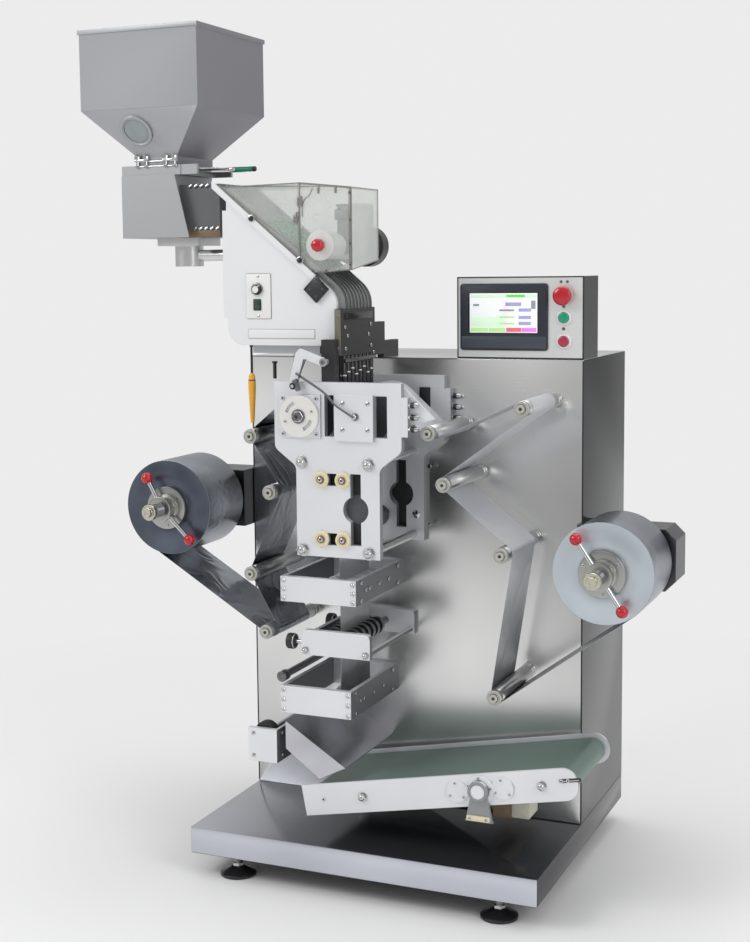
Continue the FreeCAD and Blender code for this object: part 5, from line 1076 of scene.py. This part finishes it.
def makeFeeder():
    front = feeder["front"]
    face = front + feeder["plateDepth"]
    x, z = feeder["plate"]
    parts = [plate((59, 97, 2), 0, 2.5, "whitePlastic", at(x, front, z)),
             plate((60.4, 98.4, 2.4), -0.6, 1.4, "blackMatt", at(x, front, z), bevel=0.3)]
    for rise in (-feeder["screwRise"], feeder["screwRise"]):
        parts += slotScrew(at(x, face, z + rise), 3, 1.4)
    x, z = feeder["strip"]
    parts += [plate((161, 21, 1.4), -0.6, 1.2, "greyBracket", at(x, front, z), bevel=0.3),
              plate((159, 19, 1), 0.3, 1.4, "whitePaint", at(x, front, z), bevel=0.4)]
    x, z = feeder["dial"]
    parts += turnedRows(at(x, face, z), [
        ([(15, 0), (15.4, 0.2), (15.4, 0.5), (15, 0.6)], "groundSteel", 44),
        ([(11.4, 0.6), (12, 1.2), (11.4, 3.6), (9.6, 4.4), (9, 9), (8, 10)], "blackGloss", 48,
         notched(12, 0.05, 0.5)),
        ([(7.2, 9.6), (7.4, 10), (7, 10.7), (2, 10.9)], "whitePlastic", 32)])
    parts.append(plate((1.6, 8, 0.7), 4, 6.3, "whitePaint", at(x + 5, face, z + 6), bevel=0.2,
                       turn=-0.7))
    x, z = feeder["switch"]
    place = at(x, face, z)
    rocker = plate((13, 18, 1.5), 0.8, 3, "darkGreen", place)
    parts += [plate((19, 25, 2), 0, 2, "blackMatt", place, bevel=0.7),
              leant(rocker, place, 0.09, "X"),
              plate((6, 1.4, 0.6), 3.6, 0.5, "whitePaint", at(x, face, z + 5), bevel=0.15)]
    x, z = feeder["sensor"]
    place = at(x, front + 4, z)
    parts += [plate((42.6, 42.6, 1.5), 0, 4, "blackGloss", place, bevel=0.9, turn=math.pi / 4),
              plate((34, 34, 1.5), 3.8, 0.8, "blackMatt", place, bevel=0.4, turn=math.pi / 4)]
    away = feeder["sensorScrew"]
    places = [(x + across, front + 8, z + rise) for across, rise in (
        (-away, 0), (away, 0), (0, away), (0, -away))]
    parts += many(capScrew, places, 1.8, 0.9, finish="darkSteel")
    addPiece("feederPanel", parts, replaces=("feeder_control_plate",),
             smoothAngle=40)
    rise = np.linspace(0, 1, 6)
    ball = [(6.4 * math.sqrt(1 - h * h), 2 + 5 * h) for h in rise[:-1]] + [(0.8, 7)]
    parts = []
    for x, z in feeder["stripBolts"]:
        parts += turnedRows(at(x, front + 4, z), [
            ([(7.6, 0), (8, 0.5), (8, 1.6), (6.4, 2.2)], "groundSteel", 32),
            (ball, "blackGloss", 28)])
    addPiece("feederStripBolts", parts)


feederSlope = math.radians(40)  # fall of the feeder's lanes and of the white strip beside them
dome = {
    "front": 225, "back": 78, "left": 36, "middle": 236, "right": 358, "bend": 300, "high": 1521,
    "top": 1525, "rightTop": 1512, "low": 1334, "rightLow": 1338, "bendLow": 1355, "backLow": 1359,
    "sheet": 3, "fittings": [(239, 1485, 12, 22), (229, 1447, 10, 18), (234, 1458, 8, 10)],
    "arch": [(268, 1512), (262, 1498), (247, 1488), (243, 1470), (244, 1452)],
    "rightScrews": (1500, 1443, 1394, 1350), "lowScrews": (268, 300, 330), "clips": (282, 322),
    "clipHeight": 1508, "block": (321, 88, 1425), "lip": (321, 86, 1478), "eye": (300, 88, 1458),
    "blockScrews": [(298, 148, 1470), (344, 148, 1470)],
}


def panel(corners, thickness, finish):
    # Flat sheet over corners given in order, with a second layer along the outline's normal
    corners = np.array([at(*corner) for corner in corners])
    normal = np.cross(corners[1] - corners[0], corners[2] - corners[1])
    normal /= np.linalg.norm(normal)
    count = len(corners)
    points = np.concatenate([corners, corners - normal * thickness * mm])
    faces = [list(range(count)), list(range(2 * count - 1, count - 1, -1))]
    faces += [[index, index + count, (index + 1) % count + count, (index + 1) % count]
              for index in range(count)]
    return points, faces, finish


def slopeAt(x):
    # Height of the white strip's upper face, which falls from (27, 1535.6)
    return 1535.6 - (x - 27) * math.tan(feederSlope)


def strut(x0, z0, x1, z1, width, depth, reach, finish):
    # Flat bar between two points of the front, width across it and depth towards the viewer
    size = (math.hypot(x1 - x0, z1 - z0), width, min(width, 2) * 0.45, 2)
    return plate(size, 0, depth, finish, at((x0 + x1) / 2, reach, (z0 + z1) / 2), bevel=0.6,
                 turn=math.atan2(z1 - z0, x1 - x0))


def makeDome():
    front, back, left, middle, right, bend = (
        dome[key] for key in ("front", "back", "left", "middle", "right", "bend"))
    high, top, rightTop, low, rightLow, bendLow, backLow = (
        dome[key] for key in ("high", "top", "rightTop", "low", "rightLow", "bendLow", "backLow"))
    foot = left + (slopeAt(left) + 3 - low) / math.tan(feederSlope)
    step = (bendLow - low) / math.tan(feederSlope)
    heel = (left + 6, slopeAt(left) - 2)
    rear = [(left, high), (middle, top), (right, rightTop), (right, backLow), (bend, bendLow),
            (foot - step, bendLow), heel]
    outline = [heel, (foot, low), (bend, low), (right, rightLow), (right, rightTop), (middle, top),
               (left, high)]
    sheets = [
        [(x, front, z) for x, z in outline], [(x, back, z) for x, z in rear],
        [(right, front, rightLow), (right, back, backLow), (right, back, rightTop),
         (right, front, rightTop)],
        [(middle, front, top), (right, front, rightTop), (right, back, rightTop), (middle, back, top)],
        [(left, front, high), (middle, front, top), (middle, back, top), (left, back, high)],
        [(right, front, rightLow), (bend, front, low), (bend, back, bendLow), (right, back, backLow)]]
    addPiece("domeSheets", [panel(corners, dome["sheet"], "acrylic") for corners in sheets],
             replaces=("clear_dome",), smoothAngle=20)
    struts = [
        (left, high - 1, middle, top - 1, 2.2, 2.4, front - 1),
        (middle, top - 1, right, rightTop - 1, 3.4, 3, front - 1),
        (right - 3, rightLow, right - 3, rightTop, 6, 4, front - 3),
        (middle + 1, slopeAt(middle) + 2, middle + 1, top, 3.6, 3, front - 1),
        (left + 8, slopeAt(left + 8) + 2, foot - 2, low + 1, 3, 3, front - 1),
        (foot, low + 1, bend, low + 1, 3, 3, front - 1),
        (bend, low + 1, right, rightLow + 1, 3, 3, front - 1)]
    parts = [strut(*values, "edgeAcrylic") for values in struts]
    runs = [
        [(right - 1, front, rightTop - 1), (right - 1, back, rightTop - 1)],
        [(right - 1, front, rightLow + 1), (right - 1, back, backLow + 1)],
        [(right - 1, back + 1, backLow), (right - 1, back + 1, rightTop)],
        [(middle, front, top - 1), (middle, back, top - 1)],
        [(middle, back + 1, top - 1), (right, back + 1, rightTop - 1)]]
    for start, end in runs:
        path = [at(*start), (at(*start) + at(*end)) / 2, at(*end)]
        parts.append(carried(path, 1.7, "edgeAcrylic", 8, up=(0.3, 0.2, 1)))
    path = [at(x, front - 1, z) for x, z in dome["arch"]]
    parts.append(carried(softened(path, 0.008, 4), 1.4, "edgeAcrylic", 8))
    for x, z, width, height in dome["fittings"]:
        parts.append(plate((width, height, 2), -1, 6, "edgeAcrylic", at(x, front, z), bevel=1))
        places = [(x, front + 5, z + height * share) for share in (0.25, -0.25)]
        parts += many(capScrew, places, 2, 1)
    places = [(right - 3, front + 1, z) for z in dome["rightScrews"]]
    parts += many(capScrew, places, 2.6, 1.6, finish="darkSteel")
    places = [(x, front + 1, low + 3) for x in dome["lowScrews"]]
    parts += many(capScrew, places, 2.4, 1.4, finish="darkSteel")
    for x in dome["clips"]:
        place = at(x, front - 1, dome["clipHeight"])
        parts.append(plate((5, 16, 1), -1, 3, "edgeAcrylic", place, bevel=0.6))
    addPiece("domeEdges", parts)
    addPiece("feederSensorBlock", [
        plate((62, 104, 4), 0, 60, "boxGrey", at(*dome["block"]), bevel=2),
        plate((66, 5, 2), 0, 64, "greyBracket", at(*dome["lip"]), bevel=1),
        plate((30, 24, 3), 60, 2, "greyBracket", at(*dome["eye"]))]
        + many(capScrew, dome["blockScrews"], 3, 2, finish="darkSteel"))


brush = {
    "centre": (283, 0, 1391), "rings": 12, "pitch": 12.5, "tips": 40,
    "core": [(6.2, 45), (9.6, 45), (10, 47), (10, 212), (9, 214.6), (6.2, 214.6)],
    "disc": [
        (6, 218), (29, 218), (32, 219), (32.4, 220), (32.4, 222.4), (31, 223.6), (16, 224),
        (15, 224.8), (6, 225)],
    "knob": [
        (4, 225), (11, 225.6), (13.4, 227), (14, 230), (14, 237), (12.4, 242), (9, 244.4), (3, 245)],
    "motor": [
        (13, -57), (43, -57), (46, -54), (46, -20), (42, -19), (41.2, -17), (42, -16), (42, 48),
        (41, 52), (38, 54.6), (14, 54.6), (12, 53)],
    "shaft": [(5.8, 53), (5.9, 56), (5.9, 219)],
}


def makeBrush():
    # Ragged edge of the bristles: radius = r * (1 - 0.03 * (1 + cos(tips * angle)) / 2)
    centre = at(*brush["centre"])
    hairs = [(10, 52), (27, 52), (29.4, 54)]
    for ring in range(brush["rings"]):
        start = 56 + ring * brush["pitch"]
        hairs += [(29.9, start), (29.0, start + 6.2)]
    hairs += [(29.4, 206), (27, 208), (10, 208)]
    addPiece("brushRound", [
        turned(hairs, centre, "brushHair", sides=160, loop=True,
               shape=lambda angle: 1 - 0.03 * (1 + np.cos(brush["tips"] * angle)) / 2),
        turned(brush["core"], centre, "groundSteel", sides=40, loop=True)],
        "brush", ("brush_roller",), 60)
    addPiece("brushMountTurned", turnedRows(centre, [
        (brush["disc"], "whitePlastic", 64), (brush["knob"], "redPlastic", 40, notched(9, 0.05, 0.45)),
        (brush["motor"], "blackMatt", 64), (brush["shaft"], "groundSteel", 32)]),
        replaces=("brush_mount",), smoothAngle=45)


tablets = {
    "rows": 14, "columns": 8, "layers": 6, "radius": 4.2, "thickness": 3.4, "upper": 134, "lower": 262,
    "reach": 215, "width": 150, "missing": 0.10, "grooveHeight": 1400.9, "grooveAcross": 200,
}


def makeTablets():
    # Domed tablets lying in the lanes, more layers of them towards the brush. Groove height =
    # height at one place - distance * tan of the feeder's slope
    parts = []
    lane = tablets["width"] / tablets["columns"]
    random = np.random.default_rng(7)
    r, t, upper, lower = (tablets[key] for key in ("radius", "thickness", "upper", "lower"))
    face = [(r * 0.3, 0), (r * 0.8, 0.3), (r, 1), (r, t - 1), (r * 0.8, t - 0.3), (r * 0.3, t)]
    for layer in range(tablets["layers"]):
        for row in range(tablets["rows"]):
            share = row / (tablets["rows"] - 1)
            for column in range(tablets["columns"]):
                if share < layer * 0.15 or random.random() < tablets["missing"]:
                    continue
                x = upper + (lower - upper) * share + random.uniform(-3, 3)
                reach = tablets["reach"] - lane * (column + 0.5) + random.uniform(-2, 2)
                groove = tablets["grooveHeight"] - (x - tablets["grooveAcross"]) * math.tan(feederSlope)
                place = at(x, reach, groove + 0.4 + layer * (t + 1.2))
                lean = -feederSlope + (random.uniform(-0.5, 0.5) if layer else 0)
                tablet = turned(face, place, "tabletGreen", "Z", 14)
                parts.append(leant(tablet, place, lean, "Y"))
    addPiece("tabletsInLanes", parts, smoothAngle=60)


guide = {
    "face": 336, "middle": 140, "cover": 1240, "edge": (328.5, 236, 1206), "edgeScrews": (1240, 1172),
    "screws": [(218, 1217), (205, 1198), (216, 1171), (78, 1219), (90, 1197), (76, 1172), (62, 1156)],
    "tubeAcross": 331, "tubeTop": 1156, "tubeLow": 1090, "first": 214, "last": 66, "tubes": 8,
    "collar": 1112, "bar": 1146,
    "posts": [(160, 200, "blackMatt"), (172, 120, "groundSteel"), (278, 200, "blackMatt")],
    "postLow": 1103, "postHigh": 1141, "brackets": [(295, 1141, 1192, 13), (300, 1104, 1146, 9)],
}


def makeGuideBlock():
    face, middle = guide["face"], guide["middle"]
    parts = many(capScrew, [(face, reach, z) for reach, z in guide["screws"]], 4.2, 3, "X")
    x, reach, z = guide["edge"]
    parts += [plate((150, 16, 3), -0.4, 2.4, "blackGloss", at(face, middle, guide["cover"]), "X", 0.6),
              plate((14, 98, 2), -0.4, 1.6, "olivePaint", at(x, reach, z), bevel=0.6)]
    parts += many(capScrew, [(x, reach + 1, z) for z in guide["edgeScrews"]], 3, 1.6)
    addPiece("guideBlockScrews", parts)
    parts = []
    top = guide["tubeTop"]
    for index, reach in enumerate(np.linspace(guide["first"], guide["last"], guide["tubes"])):
        place = at(guide["tubeAcross"], reach, 0)
        low = guide["tubeLow"] - index % 2 * 2
        tube = [(3.4, low), (6.4, low), (6.6, low + 1), (6.6, top - 2), (5.6, top), (3.4, top)]
        parts.append(turned(tube, place, "blackGloss", "Z", 24, loop=True))
        collar = guide["collar"] + index % 3 * 7
        ring = [(6.8, collar), (7.2, collar + 0.4), (7.2, collar + 2.6), (6.8, collar + 3)]
        parts.append(turned(ring, place, "groundSteel", "Z", 24))
    parts.append(plate((166, 8, 2), 2, 4, "darkSteel", at(face, middle, guide["bar"]), "X"))
    addPiece("laneTubes", parts)
    low, high = guide["postLow"], guide["postHigh"]
    post = [(3, low), (4, low + 1), (4, high - 4), (6, high - 4), (6, high)]
    parts = [turned(post, at(x, reach, 0), finish, "Z", 20) for x, reach, finish in guide["posts"]]
    parts += [plate((width, high - low, 2), 0, 12, "plateAluminium", at(x, 190, (low + high) / 2))
              for x, low, high, width in guide["brackets"]]
    addPiece("guidePosts", parts)


wand = {"across": 98, "reach": 190, "top": 1177, "gripTop": 1114, "gripLow": 1002, "flatness": 0.7}


def oval(angle):
    # Radius share of an ellipse: 1 / sqrt(cos^2 + (sin / flatness)^2)
    return 1 / np.sqrt(np.cos(angle) ** 2 + (np.sin(angle) / wand["flatness"]) ** 2)


def makeWand():
    low, high, top = wand["gripLow"], wand["gripTop"], wand["top"]
    grip = [(2, low), (4.4, low + 1), (5, low + 8), (6.2, low + 30), (7.8, low + 55), (8.8, low + 76),
            (9, low + 90), (8.4, low + 93), (7.4, low + 95), (8, low + 98), (7.8, low + 104),
            (5.6, high - 3), (3, high)]
    band = [(7.9, low + 93.2), (8.6, low + 94), (8.6, low + 96.4), (7.9, low + 97.2)]
    addPiece("handWand", turnedRows(at(wand["across"], wand["reach"], 0), [
        (grip, "yellowPlastic", 40, oval), (band, "brownPaint", 40, oval),
        ([(2.6, high - 4), (2.6, top - 6), (4, top - 5), (4, top)], "blackMatt", 20)], "Z"),
        replaces=("hanging_lever",), smoothAngle=50)


makeWand()
makeHopper()
makeGate()
makeFeeder()
makeDome()
makeBrush()
makeTablets()
makeGuideBlock()
print("hopper and feeder")


control = {
    "screenLeft": 521, "screenRight": 721, "screenLow": 1159, "screenHigh": 1305,
    "displayLeft": 544, "displayRight": 698, "displayLow": 1198, "displayHigh": 1284,
    "fields": [  # left, low, width, height from the display's lower left corner
        (2, 76, 150, 8, "screenPale"), (84, 77, 42, 6, "screenGreen"), (2, 2, 40, 9, "screenLime"),
        (44, 2, 38, 9, "screenLime"), (84, 2, 34, 9, "screenRed"), (119, 2, 33, 9, "screenMagenta"),
        (4, 14, 74, 22, "screenPale"), (82, 58, 36, 8, "screenLilac"), (8, 58, 14, 5, "screenGrey"),
        (76, 14, 14, 66, "screenPink"), (112, 46, 28, 7, "screenLilac"),
        (112, 30, 28, 7, "screenLilac"), (112, 17, 28, 7, "screenLilac"),
        (140, 52, 10, 18, "screenGrey"), (68, 47, 34, 4, "screenGrey"),
        (68, 32, 34, 4, "screenLime"), (68, 18, 34, 4, "screenLime")],
    "buttonAcross": 756, "mushroom": 1278, "start": 1231, "stop": 1180,
    "pins": 1308, "pinsAway": (-7, 7), "lamps": (1255, 1207),
    "boxLeft": 513, "boxRight": 800, "boxLow": 1141, "boxHigh": 1320,
}


def field(left, low, width, height, finish, lift=0.25):
    # One coloured field of the display, a thin sheet over the glass
    left, low = left + control["displayLeft"], low + control["displayLow"]
    place = at(left + width / 2, 5.2, low + height / 2)
    return plate((width, height, 0.6, 2), lift, 0.3, finish, place, bevel=0.1)


def makeScreen():
    left, right, low, high = (
        control[key] for key in ("screenLeft", "screenRight", "screenLow", "screenHigh"))
    x, z, width, height = (left + right) / 2, (low + high) / 2, right - left, high - low
    glass = at((control["displayLeft"] + control["displayRight"]) / 2, 0,
               (control["displayLow"] + control["displayHigh"]) / 2)
    parts = [
        plate((width, height, 7), 0, 4, "screenBezel", at(x, 0, z), bevel=1.2),
        plate((width - 5, height - 5, 6), 3.8, 1.4, "screenBezel", at(x, 0, z)),
        plate((width - 7, 26, 3), 5.0, 0.5, "screenBar", at(x, 0, low + 18), bevel=0.3),
        plate((160, 92, 3), 4.6, 0.8, "blackGloss", glass, bevel=0.3),
        field(0, 0, 154, 86, "screenWhite", 0.0)]
    parts += [field(*values) for values in control["fields"]]
    addPiece("touchScreenPanel", parts, replaces=("touch_screen",))


def makeButtons():
    x = control["buttonAcross"]
    parts = turnedRows(at(x, 0, control["mushroom"]), [
        ([(17, 0), (17.6, 0.6), (17.6, 3), (16.6, 4)], "groundSteel", 48),
        ([(12, 4), (12, 10), (12.6, 11)], "blackGloss", 40),
        ([(12, 10.6), (19.2, 11.4), (20.6, 13.2), (20.6, 18.6), (19.6, 21.4), (17, 23.4),
          (11, 24.8), (4, 25.2)], "redPlastic", 56)])
    collar = [(15.6, 0), (16.4, 0.8), (16.4, 2.8), (15, 4.2), (12.2, 4.2), (11.9, 3.2)]
    button = [(11.6, 2.4), (11.6, 6.2), (10.8, 7.4), (8.4, 8), (3, 8.2)]
    for name, finish in (("start", "greenPlastic"), ("stop", "pinkPlastic")):
        parts += turnedRows(at(x, 0, control[name]), [
            (collar, "whitePlastic", 52), (button, finish, 44)])
    addPiece("pushButtons", parts, replaces=("control_buttons",),
             smoothAngle=45)
    pin, lamp = [(3, 0), (3.2, 0.4), (3, 1), (1, 1.2)], [(3.4, 0), (3.6, 0.4), (3.4, 1.2), (1, 1.4)]
    parts = [turned(pin, at(x + away, 0, control["pins"]), "darkSteel", sides=20)
             for away in control["pinsAway"]]
    parts += [turned(lamp, at(x - 1, 0, z), "darkSteel", sides=20) for z in control["lamps"]]
    addPiece("indicatorPins", parts)


base = {"width": 800, "front": 337, "back": -373, "low": 52, "high": 110, "trim": (625, 1026)}


def bars(places, depth, finish):
    # Thin bars on the cabinet's face, each place (x, z, width, height)
    return [plate((width, height, 1.2, 2), -0.8, depth, finish, at(x, 0, z), bevel=0.4)
            for x, z, width, height in places]


def makeBoxTrim():
    left, right, low, high = (control[key] for key in ("boxLeft", "boxRight", "boxLow", "boxHigh"))
    x, z = (left + right) / 2, (low + high) / 2
    addPiece("controlBoxTrim", bars([
        (x, high - 1.4, right - left, 2.8), (x, low + 1.6, right - left, 3.2),
        (left + 1.4, z, 2.8, high - low), (right - 1.6, z, 3.2, high - low)], 1.6, "blackMatt"))
    width, z, height = base["width"], *base["trim"]
    uprights = bars([(width - 1.5, z, 3.0, height), (1.5, z, 3.0, height)], 1.4, "blackMatt")
    addPiece("cabinetTrim", uprights + bars([(left / 2, low - 1.6, left, 3)], 1.4, "darkSteel"))


def makeBase():
    width, depth = base["width"], base["front"] - base["back"]
    middle = at(width / 2, (base["front"] + base["back"]) / 2, base["low"])
    tray = plate((width, depth, 3), 0, base["high"] - base["low"], "plinthSteel", middle, "Z", 1.2)
    seam = plate((width - 2, depth - 2, 2), -1, 2, "blackMatt", middle, "Z", 0.4)
    addPiece("baseTray", [tray, seam], replaces=("base_plinth",))


feet = {
    "across": (95, 705), "reach": (292, -328),
    "pad": [(38, 0), (40, 1), (40, 6), (38, 8), (30, 11), (20, 16), (14, 20), (12, 21)],
    "lowNut": [(12, 20), (13, 20.6), (13, 27), (12, 27.6)],
    "stud": [(8, 27)] + threaded(28, 2.5, 6, 7.4, 8.2) + [(8, 43.5)],
    "highNut": [(13, 43), (14, 43.8), (14, 51.2), (13, 52)],
}


def makeFeet():
    parts = []
    for place in [at(x, reach, 0) for x in feet["across"] for reach in feet["reach"]]:
        parts += turnedRows(place, [
            (feet["pad"], "blackGloss", 56), (feet["lowNut"], "groundSteel", 36, hexagonal),
            (feet["stud"], "groundSteel", 32), (feet["highNut"], "groundSteel", 36, hexagonal)], "Z")
    addPiece("levellingFeetTurned", parts, replaces=("levelling_feet",))


door = {
    "reach": -373, "hinges": (300, 625, 950), "pin": 36, "leaf": 28, "latches": (500, 750),
    "latch": 732,
}


def makeDoor():
    back, latch = door["reach"], door["latch"]
    parts = []
    for z in door["hinges"]:
        pin = [(5, z - 38), (6, z - 37), (6, z + 37), (5, z + 38)]
        parts += [turned(pin, at(door["pin"], back - 2, 0), "groundSteel", "Z", 20),
                  plate((20, 70, 2), -2, 3, "groundSteel", at(door["leaf"], back, z), bevel=0.5)]
    for z in door["latches"]:
        parts += [turned([(15, 0), (16, -1), (16, -3), (14, -4.4), (3, -4.6)], at(latch, back, z),
                         "chrome", sides=36),
                  plate((18, 4, 1.5), -5.2, 1, "blackMatt", at(latch, back, z), bevel=0.3)]
    addPiece("doorHardware", parts)


makeScreen()
makeButtons()
makeBoxTrim()
makeBase()
makeFeet()
makeDoor()
for nodeName, finish, slotName, width in (
        ("cabinet_housing", "cabinetSteel", "brushed_steel", 2.0),
        ("hopper_bin", "hopperSteel", "hopper_steel", 0.8),
        ("hopper_cone", "hopperSteel", "hopper_steel", 0.8)):
    edged(nodeName, finish, width)
print("control box, feet and door")


# Floor, light and camera
stage = {
    "floorColour": 0.88, "backColour": 0.84, "floorSize": 30.0, "fadeStart": 0.9, "fadeEnd": 2.4,
    "worldStrength": 0.75,
    "lamps": [  # name, place, target, size in metres and power in watts
        ("keyLamp", (-2.6, -2.6, 3.2), (0.0, 0.0, 0.9), (1.8, 1.8), 55),
        ("fillLamp", (3.4, -1.8, 2.4), (0.0, 0.0, 0.8), (1.6, 2.4), 38),
        ("topLamp", (0.2, 0.4, 3.6), (0.0, 0.0, 0.6), (2.4, 2.4), 30)],
}


def makeFloor():
    tree, shader, position = newMaterial("paleFloor")
    setShader(shader, Base_Color=(stage["floorColour"],) * 3 + (1,), Roughness=0.7)
    glow = addNode(tree, "ShaderNodeEmission", {
        "Color": (stage["backColour"],) * 3 + (1,), "Strength": 1.0})
    distance = addNode(tree, "ShaderNodeVectorMath", {0: position}, operation="LENGTH")
    fade = addNode(tree, "ShaderNodeMapRange", {
        "Value": distance.outputs["Value"], "From Min": stage["fadeStart"],
        "From Max": stage["fadeEnd"]})
    mix = addNode(tree, "ShaderNodeMixShader", {
        0: fade.outputs[0], 1: shader.outputs[0], 2: glow.outputs[0]})
    tree.links.new(mix.outputs[0], tree.nodes["Material Output"].inputs["Surface"])
    half = stage["floorSize"] / 2
    corners = [(-half, -half, 0), (half, -half, 0), (half, half, 0), (-half, half, 0)]
    mesh = bpy.data.meshes.new("floor")
    mesh.from_pydata(corners, [], [(0, 1, 2, 3)])
    mesh.materials.append(materials["paleFloor"])
    floor = newObject("floor", mesh)


def makeWorld():
    # Even pale surroundings, darker low behind the camera so that flat metal has something to show
    world = bpy.data.worlds.new("studio")
    bpy.context.scene.world = world
    world.use_nodes = True
    tree = world.node_tree
    background = tree.nodes["Background"]
    direction = tree.nodes.new("ShaderNodeTexCoord").outputs["Generated"]
    apart = addNode(tree, "ShaderNodeSeparateXYZ", {0: direction})
    lift = addNode(tree, "ShaderNodeMapRange", {
        "Value": apart.outputs["Z"], "From Min": -0.2, "From Max": 0.7, "To Min": 0.55,
        "To Max": 1.0})
    front = addNode(tree, "ShaderNodeMapRange", {
        "Value": apart.outputs["Y"], "From Min": -1.0, "From Max": 0.2, "To Min": 0.72,
        "To Max": 1.0})
    shade = math2(tree, "MULTIPLY", lift.outputs[0], front.outputs[0])
    path = tree.nodes.new("ShaderNodeLightPath")
    plain = addNode(tree, "ShaderNodeMix", {
        0: path.outputs["Is Camera Ray"], 2: math2(tree, "MULTIPLY", shade, stage["worldStrength"]),
        3: stage["backColour"]}, data_type="FLOAT")
    tree.links.new(plain.outputs[0], background.inputs["Strength"])
    background.inputs["Color"].default_value = (1, 1, 1, 1)


def makeLamp(name, place, target, size, power):
    data = bpy.data.lights.new(name, "AREA")
    data.shape = "RECTANGLE"
    data.size, data.size_y = size
    data.energy = power
    lamp = newObject(name, data)
    direction = Vector(target) - Vector(place)
    turn = direction.to_track_quat("-Z", "Y").to_matrix().to_4x4()
    lamp.matrix_world = Matrix.Translation(place) @ turn


cameraView = {
    "place": (1.2864, -3.2403, 1.3399), "yaw": 23.875, "pitch": 6.184, "roll": -0.648,
    "focalPixels": 1537.94, "centre": (343.80, 435.85), "picture": (750, 942), "sensor": 36.0,
}


def makeCamera():
    yaw, pitch, roll = (math.radians(cameraView[key]) for key in ("yaw", "pitch", "roll"))
    forward = Vector((
        -math.sin(yaw) * math.cos(pitch), math.cos(yaw) * math.cos(pitch), -math.sin(pitch)))
    level = Vector((math.cos(yaw), math.sin(yaw), 0))
    upright = level.cross(forward)
    right = level * math.cos(roll) + upright * math.sin(roll)
    up = right.cross(forward)
    width, height = cameraView["picture"]
    data = bpy.data.cameras.new("camera")
    data.sensor_width = cameraView["sensor"]
    data.lens = cameraView["focalPixels"] / height * cameraView["sensor"]
    data.shift_x = (width / 2 - cameraView["centre"][0]) / height
    data.shift_y = (cameraView["centre"][1] - height / 2) / height
    camera = newObject("camera", data)
    turn = Matrix((right, up, -forward)).transposed().to_4x4()
    camera.matrix_world = Matrix.Translation(cameraView["place"]) @ turn
    bpy.context.scene.camera = camera


makeFloor()
makeWorld()
for lampValues in stage["lamps"]:
    makeLamp(*lampValues)
makeCamera()
bpy.context.scene.view_settings.view_transform = "Standard"
print("stage ready")
